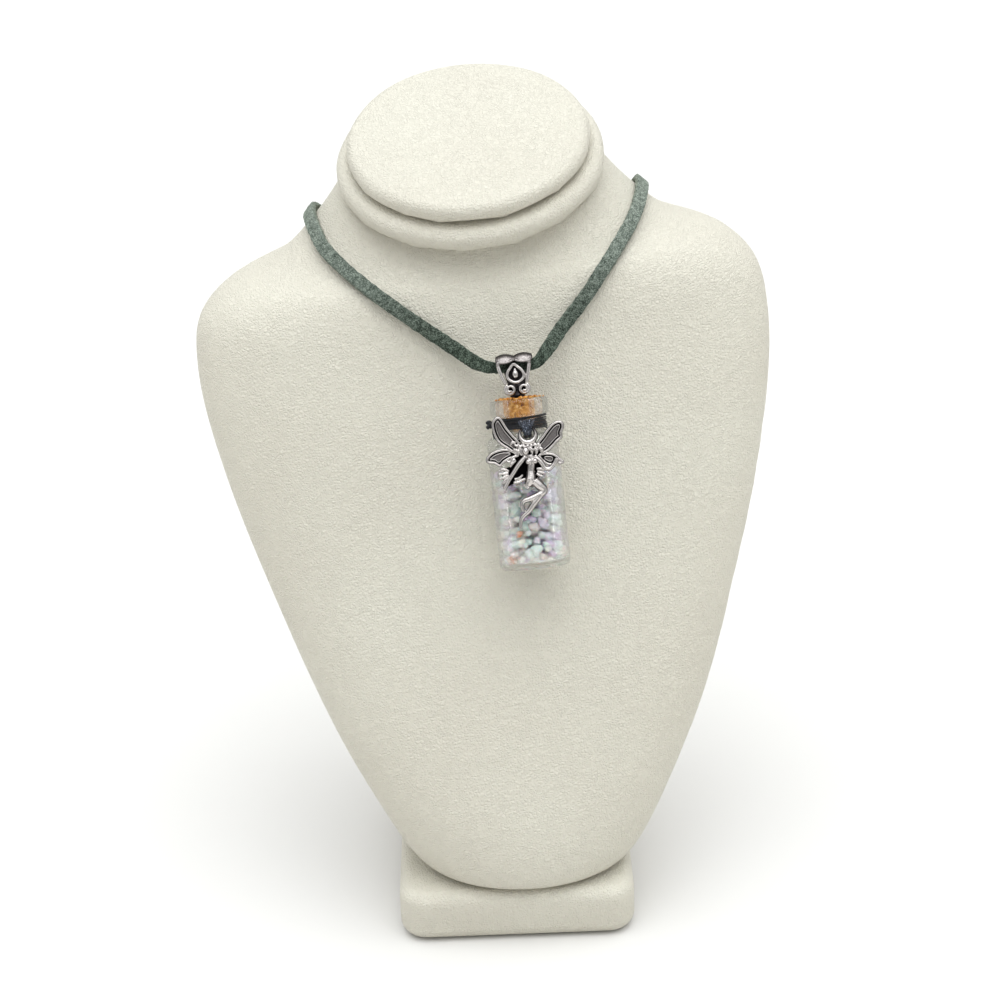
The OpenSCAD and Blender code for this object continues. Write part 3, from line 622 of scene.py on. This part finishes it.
def makeCorkStopper():
    bpy.ops.mesh.primitive_cylinder_add(vertices=72, radius=stopper["wide"] / 2 * mm,
                                        depth=(stopper["high"] - stopper["low"]) * mm,
                                        location=(0, 0, (stopper["high"] + stopper["low"]) / 2 * mm))
    obj = place(bpy.context.object)
    applyModifier(obj, "BEVEL", width=0.0003, segments=2, limit_method="ANGLE")
    bpy.ops.object.mode_set(mode="EDIT")
    bpy.ops.mesh.select_all(action="SELECT")
    bpy.ops.mesh.subdivide(number_cuts=5)
    bpy.ops.object.mode_set(mode="OBJECT")
    applyModifier(obj, "REMESH", mode="VOXEL", voxel_size=0.00012)
    for vertex in obj.data.vertices:
        share = (stopper["high"] * mm - vertex.co.z) / (stopper["high"] - stopper["low"]) / mm
        vertex.co.x *= 1 - stopper["taper"] * share
        vertex.co.y *= 1 - stopper["taper"] * share
    roughen(obj, 0.0006, 0.0005, 3, bias=0.1)
    return hang(obj, "corkStopper", corkFinish, ["cork"])


crumbs = {"count": 150, "from": 3.3, "to": 5.9, "size": 0.17}


def makeCrumbs():  # crumbs that the eye's peg pressed out of the cork, lying on the lip
    parts = []
    random.seed(21)
    for _ in range(crumbs["count"]):
        a = random.uniform(0, math.tau)
        r = crumbs["from"] + (crumbs["to"] - crumbs["from"]) * random.random() ** 2.2
        size = crumbs["size"] * random.uniform(0.5, 1.5) * (1.5 if r < 3.9 else 1)
        bpy.ops.mesh.primitive_ico_sphere_add(subdivisions=1, radius=size * mm, rotation=(a, r, size),
                                              location=Vector((r * math.cos(a), r * math.sin(a),
                                                               vial["high"] + size * 0.6)) * mm,
                                              scale=(1, random.uniform(0.6, 1), random.uniform(0.5, 0.9)))
        parts.append(bpy.context.object)
    return hang(join(parts, "crumbs"), "corkCrumbs", corkFinish, smooth=False)


heap = {"count": 430, "tries": 40000, "low": 1.25, "high": 20.6, "across": 6.75, "wall": 6.84}


def makeChipShape(seed):  # one tumbled chip, about 1.5 mm across
    random.seed(seed)
    bpy.ops.mesh.primitive_cube_add(size=1.5 * mm)
    obj = place(bpy.context.object)
    obj.scale = [random.uniform(0.75, 1.1) for _ in range(3)]
    place(obj)
    applyModifier(obj, "BEVEL", width=0.34 * mm, segments=1, limit_method="NONE")
    for vertex in obj.data.vertices:
        vertex.co *= random.uniform(0.78, 1.14)
    return obj


def makeChips():
    stones = [makeChipShape(seed) for seed in range(6)]
    random.seed(11)
    placed, tries = [], 0
    while len(placed) < heap["count"] and tries < heap["tries"]:
        tries += 1
        size = random.uniform(0.75, 1.75)
        a, r = random.uniform(0, math.tau), (heap["across"] - size * 0.8) * math.sqrt(random.random())
        top = heap["high"] - 0.9 + 0.8 * math.sin(a * 2 + 1)
        p = Vector((r * math.cos(a), r * math.sin(a), random.uniform(heap["low"] + size * 0.6, top)))
        if all((p - q).length > (size + s) * 0.52 for q, s in placed):
            placed.append((p, size))
    points, faces, tints = [], [], []
    limit = heap["wall"] * mm
    for p, size in placed:
        stoneMesh = random.choice(stones).data
        turn = Matrix.Rotation(random.uniform(0, math.tau), 3, Vector((random.random(), random.random(), 0.5)))
        start, shade = len(points), random.random()
        for vertex in stoneMesh.vertices:
            spot = turn @ (vertex.co * size) + p * mm
            r = math.hypot(spot.x, spot.y)
            if r > limit:
                spot.x, spot.y = spot.x * limit / r, spot.y * limit / r
            spot.z = max(spot.z, (heap["low"] - 0.05) * mm)
            points.append(spot)
        for face in stoneMesh.polygons:
            faces.append([start + i for i in face.vertices])
            tints.append(shade)
    for source in stones:
        bpy.data.objects.remove(source)
    obj = addMesh("chips", points, faces)
    obj.data.attributes.new("chipTint", "FLOAT", "FACE").data.foreach_set("value", tints)
    print("chips", len(placed))
    return hang(obj, "crystalChips", stone, ["chips"], smooth=False)


makeVial()
makeCorkStopper()
makeCrumbs()
makeChips()
print("vial made")


def wire(points, radii, closed=False, detail=3):  # a round wire through points given in mm
    curve = bpy.data.curves.new("wire", "CURVE")
    curve.dimensions = "3D"
    curve.bevel_depth = mm
    curve.bevel_resolution = detail
    curve.resolution_u = 5
    curve.use_fill_caps = True
    spline = curve.splines.new("BEZIER")
    spline.bezier_points.add(len(points) - 1)
    spline.use_cyclic_u = closed
    for i, (knot, p) in enumerate(zip(spline.bezier_points, points)):
        knot.co = Vector(p) * mm
        knot.handle_left_type = knot.handle_right_type = "AUTO"
        knot.radius = radii[i] if isinstance(radii, (list, tuple)) else radii
    pick(addObject("wire", curve))
    bpy.ops.object.convert(target="MESH")
    return bpy.context.object


def ball(p, size):  # an oval lump at p, in mm
    bpy.ops.mesh.primitive_uv_sphere_add(segments=20, ring_count=12, radius=mm, location=Vector(p) * mm,
                                         scale=size if isinstance(size, tuple) else (size, size, size))
    return place(bpy.context.object)


def plate(outline, low, high):  # a flat plate standing upright between two depths, its outline in mm
    obj = outlineCurve(outline, high - low)
    return cleanMesh(place(obj, Matrix.Translation((0, (low + high) / 2 * mm, 0))))


def blacken(obj, level, paintedSideShade):  # stores how dark the patina lies at each point from its place, and adds painted shade on the sides that turn away from the front
    marks = obj.data.attributes.new("patinaAndSideShade", "FLOAT", "POINT")
    values = []
    for vertex in obj.data.vertices:
        # painted shade: the sides that turn away from the front are made darker
        turned = 1 - max(0, -vertex.normal.y)
        values.append(min(1, max(0, level(vertex.co / mm)) + (paintedSideShade * turned ** 1.2 if vertex.co.y < 0 else 0)))
    marks.data.foreach_set("value", values)


def cast(parts, name, voxel, smoothing):  # melts the parts into one casting
    obj = join(parts, name)
    applyModifier(obj, "REMESH", mode="VOXEL", voxel_size=voxel * mm)
    applyModifier(obj, "SMOOTH", factor=0.5, iterations=smoothing)
    return obj


bailSize = {"front": -2.05, "wire": 0.38, "eye": 1.7, "hook": 42.4}
drop = [(-0.15, 42.75), (-0.95, 42.0), (-1.55, 41.2), (-1.68, 40.2), (-0.95, 39.3), (0.05, 38.95), (1.2, 39.4),
        (1.78, 40.3), (1.5, 41.3), (0.7, 42.15)]


def makeBail():
    y, w, hook = bailSize["front"], bailSize["wire"], bailSize["hook"]
    parts = []
    for side in (-1, 1):
        # side bar, then the volute that it ends in
        parts.append(wire([(side * 3.35 - 0.15, y + 0.1, hook + 1.0), (side * 3.1 - 0.15, y, hook - 0.6),
                           (side * 2.6 - 0.1, y, hook - 2.4), (side * 2.2, y, hook - 3.6)], [0.4, 0.42, 0.4, 0.34]))
        spiral = []
        for i in range(15):
            a, r = math.radians(62 - 40 * i if side > 0 else 118 + 40 * i), 1.16 * (1 - 0.05 * i)
            spiral.append((side * 1.45 + 0.1 + r * math.cos(a), y - 0.03 * i, 37.55 + r * math.sin(a)))
        parts.append(wire(spiral, [0.32] * 8 + [0.29, 0.27, 0.25, 0.24, 0.24, 0.24, 0.26]))
        parts.append(ball((side * 1.45 + 0.1, y + 0.5, 37.55), (0.95, 0.3, 0.95)))
        # the hump that rolls over the lace, barrel-shaped, with a rolled lip in front
        for k in range(10):
            x = 0.34 + 0.35 * k
            swell = 0.44 * (1 - ((x - 1.95) / 1.7) ** 2) - 0.2
            loop = []
            for i in range(8):
                a = math.radians(152 - 22 * i)
                r = bailSize["eye"] + w + swell * (0.5 + 0.5 * math.sin(max(0, a)))
                loop.append((side * x, r * math.cos(a), hook + r * math.sin(a)))
            parts.append(wire(loop, w))
        parts.append(wire([(side * 3.45, y + 0.15, hook + 1.0), (side * 2.7, y - 0.1, hook + 0.85),
                           (side * 1.85, y - 0.15, hook + 0.8), (side * 1.0, y - 0.1, hook + 0.95),
                           (side * 0.3, y, hook + 1.25)], [0.36, 0.3, 0.28, 0.28, 0.3]))
    parts.append(wire([(x, y - 0.08, z) for x, z in drop], 0.34, closed=True))
    parts.append(ball((0.02, y + 0.1, 40.65), (0.66, 0.5, 0.92)))
    parts.append(ball((0.02, y + 0.12, 41.4), (0.36, 0.36, 0.6)))
    parts.append(plate(drop, y + 0.12, y + 0.4))
    parts.append(plate([(-2.7, hook), (2.7, hook), (1.5, 37), (-1.5, 37)], 1.75, 2.4))
    parts.append(wire([(0, 2.05, 38.4), (0, 1.6, 37.2), (0, 0.4, 36.6)], [1.2, 1.2, 1.3]))
    parts.append(wire([(-1.3, y + 0.3, 37.0), (0, -0.4, 36.8), (1.3, y + 0.3, 37.0)], [0.4, 0.7, 0.4]))
    parts.append(wire([(0, 0, 36.7), (0, 0, 35.9)], [1.35, 1.65]))
    parts.append(wire([(0, 0, 36.2), (0, 0, 33), (0, 0, 30.8)], [0.58, 0.58, 0.5]))
    obj = cast(parts, "bail", 0.085, 2)

    def level(p):  # grey outside, bright front wires, black hollows
        outside = math.hypot(p.y, p.z - hook) > 2.1 and p.z > hook + 0.2
        return 0.22 if outside or p.y > 2.1 else (p.y - (y - 0.1)) / 0.3 if p.y < y + 0.6 else 0.5

    blacken(obj, level, 0.7)
    return hang(obj, "castBail", antiqueSilver, ["bail"])


castBail = makeBail()
print("bail made", len(castBail.data.polygons))


winding = {"strand": 0.165, "reach": 5.4, "low": 29.1, "high": 31.6, "turns": 9}


def makeWinding():
    random.seed(5)
    points, steps, turns = [], 36, winding["turns"]
    middle = (winding["low"] + winding["high"]) / 2
    drift = [random.uniform(-0.13, 0.13) for _ in range(turns + 2)]
    for i in range(turns * steps + 1):
        a, share = math.tau * i / steps, i / (turns * steps)
        s = winding["low"] + (winding["high"] - winding["low"]) * share - middle
        right = math.exp(-((math.remainder(a, math.tau)) / 0.7) ** 2)  # the strands fan out at the right side
        toTie = math.exp(-(math.remainder(a + math.pi / 2, math.tau) / 0.5) ** 2)
        k, part = divmod(share * turns, 1)
        wander = drift[int(k)] * (1 - part) + drift[int(k) + 1] * part
        s = middle + (s + wander) * (1 + 0.28 * right - 0.12 * toTie) + 0.1 * math.sin(2 * a + 5 * share)
        out = winding["reach"] + 0.09 * math.sin(a * 3 + 9 * share) + 0.06 * math.sin(a * 1.5) - 0.05 * right
        points.append((out * math.cos(a), out * math.sin(a), s))
    parts = [wire(points, winding["strand"], detail=2)]
    for low, tilt in ((30.0, 0.35), (30.9, -0.3)):  # the strands under it
        points = [(5.0 * math.cos(math.tau * i / 30), 5.0 * math.sin(math.tau * i / 30),
                   low + tilt * math.sin(math.tau * i / 30 + 1)) for i in range(30)]
        parts.append(wire(points, 0.24, closed=True, detail=2))
    return hang(join(parts, "winding"), "threadWinding", threadFinish, ["neck_wrap"])


knot = {"at": (-6.3, -1.3, 30.5), "ends": 5,
        "turns": [(-0.3, -0.3, 0.65, 0.42), (-0.35, -0.35, -0.25, 0.42), (0.05, -0.3, 0.2, 0.5)]}


def makeKnot():
    k = Vector(knot["at"])
    parts = []
    for x, y, z, r in knot["turns"]:
        parts.append(wire([k + Vector((x - 0.35, y, z - 0.15)), k + Vector((x, y - 0.2, z + 0.1)),
                           k + Vector((x + 0.4, y + 0.1, z))], r))
    parts.append(wire([k + Vector((-0.2, 0, 0.3)), k + Vector((0.4, 0.2, 0)), k + Vector((0.9, 0.3, -0.2))], 0.34))
    for i in range(knot["ends"]):  # its loose ends, hanging in front of the shoulder
        x = -5.75 + 0.3 * i
        parts.append(wire([(x + 0.25, -2.5 - 0.25 * i, 30.3 - 0.1 * i), (x, -3.3 - 0.22 * i, 29.4),
                           (x + 0.1 * (i % 3), -3.9 - 0.2 * i, 28.6),
                           (x + 0.15, -4.5 - 0.2 * i, 27.9 - 0.25 * (i % 2))], [0.26, 0.27, 0.26, 0.2]))
    return hang(join(parts, "knot"), "threadKnot", threadFinish, ["wrap_knot"])


tie = {"x": 1.35, "top": 29.6, "start": -6.02}


def makeTie():
    parts = []
    for k in range(8):
        x = -1.55 + 0.44 * k
        out = 0.16 * (k % 2) + 0.1 * math.cos(x)
        parts.append(wire([(tie["x"] + x * 0.9, tie["start"], tie["top"] + 1.1),
                           (tie["x"] + x, -7.2 - out, tie["top"] + 1.3 + out),
                           (tie["x"] + x * 0.95, -8.3 - out, tie["top"] + 0.75 + out),
                           (tie["x"] + x * 0.52, -8.85 - out * 0.6, tie["top"] - 0.2),
                           (tie["x"] + x * 0.34, -8.75, tie["top"] - 1.1),
                           (tie["x"] + x * 0.38, -8.1, tie["top"] - 1.6),
                           (tie["x"] + x * 0.5, -7.3, tie["top"] - 1.0),
                           (tie["x"] + x * 0.9, tie["start"], tie["top"] - 0.4)], 0.18, detail=2))
    hang(join(parts, "tie"), "charmTie", tieFinish, ["charm_tie"])
    parts = [wire([(tie["x"] + x, -7.0, tie["top"] + z), (tie["x"] + x * 0.8, -7.95, tie["top"] - 1.3),
                   (tie["x"] + x, -7.0, tie["top"] - 2.2 + z)], 0.3) for x, z in
             ((-0.7, 0.2), (-0.35, 0), (0, 0.15), (0.35, 0), (0.7, 0.2))]
    hang(join(parts, "under"), "tieUnderTurns", threadFinish)


makeWinding()
makeKnot()
makeTie()
print("thread made")


charm = {"wide": 16.1, "high": 23.2, "at": (1.3, -8.15, 28.0), "plate": 0.35, "crescent": 2.08}
wingOutlines = [
    [(-0.37, 0.18), (-0.32, 0.165), (-0.25, 0.07), (-0.17, -0.01), (-0.12, -0.07), (-0.15, -0.16),
     (-0.27, -0.10), (-0.37, -0.04), (-0.42, 0.04), (-0.43, 0.13)],
    [(0.46, 0.07), (0.42, 0.09), (0.35, 0.08), (0.28, 0.04), (0.19, -0.03), (0.11, -0.10),
     (0.18, -0.17), (0.29, -0.13), (0.37, -0.08), (0.43, -0.05), (0.43, -0.01), (0.46, 0.03)],
    [(-0.14, -0.17), (-0.26, -0.115), (-0.38, -0.11), (-0.49, -0.135), (-0.55, -0.18),
     (-0.53, -0.21), (-0.46, -0.22), (-0.39, -0.25), (-0.34, -0.22), (-0.25, -0.19)],
    [(0.12, -0.19), (0.23, -0.18), (0.32, -0.20), (0.38, -0.24), (0.42, -0.27),
     (0.37, -0.28), (0.33, -0.25), (0.29, -0.28), (0.23, -0.28), (0.17, -0.25)]]
bodyPlate = [(-0.07, -0.10), (0.13, -0.10), (0.17, -0.17), (0.13, -0.22), (0.17, -0.31),
             (0.14, -0.37), (0.09, -0.39), (0.04, -0.42), (-0.02, -0.46), (-0.08, -0.45),
             (-0.10, -0.40), (-0.22, -0.41), (-0.31, -0.44), (-0.37, -0.38), (-0.38, -0.33),
             (-0.33, -0.28), (-0.26, -0.26), (-0.21, -0.19), (-0.12, -0.16)]
limbs = [  # torso, arms and legs, as places across and up in mm with a radius
    [(1.36, 23.9, 0.78), (1.55, 22.5, 0.9), (1.2, 20.6, 0.76), (1.0, 18.8, 1.18), (0.3, 17.6, 0.8)],
    [(0.5, 23.6, 0.5), (-0.82, 22.4, 0.54), (-1.99, 21.0, 0.5), (-3.65, 18.8, 0.44), (-4.6, 17.35, 0.48)],
    [(2.3, 23.6, 0.5), (3.45, 22.2, 0.54), (4.67, 20.6, 0.5), (6.14, 21.5, 0.42), (6.8, 22.5, 0.46)],
    [(1.73, 18.5, 1.1), (2.75, 17.3, 1.05), (3.55, 16.25, 0.76), (2.3, 15.5, 0.72), (0.67, 14.9, 0.7),
     (-1.15, 14.2, 0.52), (-1.15, 12.4, 0.42)],
    [(2.7, 15.4, 0.7), (1.3, 13.9, 0.7), (0.09, 12.5, 0.58), (-1.75, 10.8, 0.46), (-2.05, 8.8, 0.34)]]
trims = [  # ruffles, sash, straps and hair, in the same way
    [(-3.3, 20.9, 0.3), (-4.1, 21.4, 0.34), (-5.0, 21.5, 0.28)],
    [(-3.4, 20.5, 0.3), (-4.4, 20.6, 0.34), (-5.3, 20.4, 0.28)],
    [(-3.4, 20.1, 0.3), (-4.4, 19.8, 0.34), (-5.3, 19.5, 0.28)],
    [(-3.6, 19.6, 0.28), (-4.4, 19.0, 0.32), (-5.0, 18.4, 0.26)],
    [(-5.2, 21.4, 0.24), (-5.5, 20.4, 0.26), (-5.3, 19.2, 0.24)],
    [(2.4, 20.9, 0.26), (3.2, 20.8, 0.32), (4.1, 20.4, 0.24)],
    [(2.5, 20.3, 0.26), (3.3, 20.0, 0.32), (4.1, 19.8, 0.24)],
    [(2.3, 19.9, 0.26), (2.9, 19.4, 0.3), (3.6, 19.2, 0.24)],
    [(-2.6, 18.5, 0.28), (-1.6, 18.5, 0.34), (-0.6, 18.9, 0.32), (0.5, 19.2, 0.3)],
    [(-2.3, 19.2, 0.24), (-1.4, 19.3, 0.3), (-0.5, 19.9, 0.26)],
    [(-2.86, 22.5, 0.24), (-2.5, 23.2, 0.26), (-2.2, 23.8, 0.24)],
    [(-3.5, 23.0, 0.22), (-2.7, 22.9, 0.24), (-1.7, 23.3, 0.24)],
    [(-3.0, 21.8, 0.24), (-2.4, 22.4, 0.26), (-1.6, 23.0, 0.24)],
    [(0.3, 20.4, 0.24), (1.2, 20.1, 0.3), (2.1, 20.4, 0.24)],
    [(-0.3, 25.3, 0.38), (-0.45, 24.5, 0.38), (-0.2, 23.9, 0.3)],
    [(1.4, 25.4, 0.44), (1.85, 24.8, 0.46), (1.8, 24.1, 0.32)],
    [(2.4, 25.2, 0.4), (2.85, 24.6, 0.44), (2.6, 24.0, 0.32)],
    [(3.4, 25.2, 0.38), (3.95, 24.7, 0.44), (3.7, 24.1, 0.32)],
    [(-2.4, 26.3, 0.26), (-1.9, 26.8, 0.34), (-1.3, 26.5, 0.3)],
    [(-1.9, 25.4, 0.26), (-1.3, 25.1, 0.32), (-0.7, 24.7, 0.28)], [(-1.6, 26.2, 0.26), (-0.9, 25.9, 0.32)],
    [(0.5, 17.0, 0.5), (0.0, 17.4, 0.42), (-0.5, 18.0, 0.32)]]


def charmPoint(x, z, lift=0.0):
    ax, ay, az = charm["at"]
    return ax + x * charm["wide"], ay - lift, az + z * charm["high"]


def inset(points, distance):  # a closed outline in mm, drawn in by a distance, without the places that cross
    n = len(points)
    area = sum(points[i][0] * points[(i + 1) % n][1] - points[(i + 1) % n][0] * points[i][1] for i in range(n))
    side = 1 if area > 0 else -1
    out = []
    for i in range(n):
        a, b = Vector(points[i - 1]), Vector(points[(i + 1) % n])
        way = (b - a).normalized()
        spot = Vector(points[i]) + Vector((-way.y, way.x)) * side * distance
        if min((spot - Vector(q)).length for q in points) > distance * 0.9:
            out.append(spot)
    return out


def holds(outline, x, z):  # whether a point lies within an outline
    inside = False
    for (ax, az), (bx, bz) in zip(outline, outline[1:] + outline[:1]):
        if (az > z) != (bz > z) and x < (bx - ax) * (z - az) / (bz - az) + ax:
            inside = not inside
    return inside


def makeCharm():
    parts, membranes = [], []
    ax, front, az = charm["at"]
    back = front + charm["plate"]
    for outline in wingOutlines:
        edge = [(x, z) for x, _, z in (charmPoint(p.x, p.y) for p in smoothPath(outline, 4, True))]
        parts.append(plate(edge, back - 0.5, back))
        border = inset(edge, 0.08)
        parts.append(wire([(p.x, front - 0.25, p.y) for p in border[::2]], 0.31, closed=True))
        inner = inset(edge, 0.72)
        if len(inner) > 8:
            parts.append(wire([(p.x, front - 0.36, p.y) for p in inner[::2]], 0.15, closed=True, detail=2))
        membranes.append([tuple(p) for p in inset(edge, 0.84)])
    parts.append(plate([(p[0], p[2]) for p in (charmPoint(x, z) for x, z in bodyPlate)], back - 0.5, back))
    for limb in limbs:
        parts.append(wire([(x, front - 0.55, z) for x, z, _ in limb], [r for _, _, r in limb]))
    for trim in trims:
        parts.append(wire([(x, front - 0.5, z) for x, z, _ in trim], [r for _, _, r in trim]))
    for x in (0.95, 2.3):
        parts.append(ball((x, front - 1.1, 22.5), 0.62))
    parts.append(ball((0.61, front - 0.7, 24.69), (0.72, 0.66, 0.88)))  # a plain face with a small nose
    parts.append(ball((0.61, front - 1.34, 24.6), (0.12, 0.18, 0.18)))
    for i in range(6):
        parts.append(ball((-0.4 + 0.76 * i, front - 0.35, 25.72), 0.36))
    ring, thick = [], []
    for i in range(14):  # the crescent that the tie runs through, thick below and thin above
        a = math.tau * i / 14
        thick.append(0.44 - 0.2 * math.cos(a))
        r = charm["crescent"] - thick[-1]
        ring.append((ax + 0.06 + r * math.sin(a), front - 0.1, az - 0.1 + r * math.cos(a)))
    parts.append(wire(ring, thick, closed=True))
    for side in (-1, 1):
        parts.append(wire([(ax + side * 1.0, front - 0.1, az - 1.3), charmPoint(side * 0.09, -0.1, 0.1)],
                          [0.42, 0.45]))
    obj = cast(parts, "charm", 0.088, 2)

    def level(p):  # bright ridges, black hollows, grey stippled wings and a plain back
        if p.y > back - 0.2:
            return 0.2
        deep = (p.y - (front - 0.5)) / 0.24
        return min(deep, 0.34) if any(holds(outline, p.x, p.z) for outline in membranes) else deep

    blacken(obj, level, 1.0)
    return hang(obj, "fairyCharm", antiqueSilver, ["fairy_charm"])


fairyCharm = makeCharm()
print("charm made", len(fairyCharm.data.polygons))


light = {"from": (0.03, -0.06, 1), "soft": 4.1, "even": 0.34, "narrow": 4, "aim": (0, 0, 0.1),
         "side": {"power": 0.3, "size": (0.14, 0.5), "at": (0.55, -0.12, 0.24)}}


def makeStage():
    bpy.ops.mesh.primitive_plane_add(size=6, location=(0, 1.5, -0.0002))
    floor = place(bpy.context.object)
    floor.name = "floor"
    floor.data.materials.append(newMaterial("paleMattFloor", "#d8d6d2", Roughness=0.9, Specular_IOR_Level=0.1)[0])
    # A soft box overhead and a little to the front, as a sky that brightens towards it
    world = bpy.data.worlds.new("softRoom")
    world.use_nodes = True
    tree = world.node_tree
    way = addNode(tree, "ShaderNodeTexCoord").outputs["Generated"]
    near = addNode(tree, "ShaderNodeVectorMath", {0: way, 1: Vector(light["from"]).normalized()},
                   operation="DOT_PRODUCT")
    above = addNode(tree, "ShaderNodeMath", {0: near.outputs["Value"], 1: 0}, operation="MAXIMUM")
    share = addNode(tree, "ShaderNodeMath", {0: above.outputs[0], 1: light["narrow"]}, operation="POWER")
    power = addNode(tree, "ShaderNodeMath", {0: share.outputs[0], 1: light["soft"], 2: light["even"]},
                    operation="MULTIPLY_ADD")
    tree.links.new(power.outputs[0], tree.nodes["Background"].inputs["Strength"])
    tree.nodes["Background"].inputs["Color"].default_value = toLinear("#f9fcff")
    scene.world = world
    for side in (-1, 1):  # two narrow soft boxes, low at the sides, that edge the glass and the casting with light
        lamp = addObject("sideLight", bpy.data.lights.new("sideLight", "AREA"))
        lamp.data.shape = "RECTANGLE"
        lamp.data.size, lamp.data.size_y = light["side"]["size"]
        lamp.data.energy = light["side"]["power"]
        lamp.location = light["side"]["at"]
        lamp.location.x *= side
        lamp.rotation_euler = (lamp.location - Vector(light["aim"])).to_track_quat("Z", "Y").to_euler()
    scene.view_settings.view_transform = "Standard"


makeStage()
print("stage made")
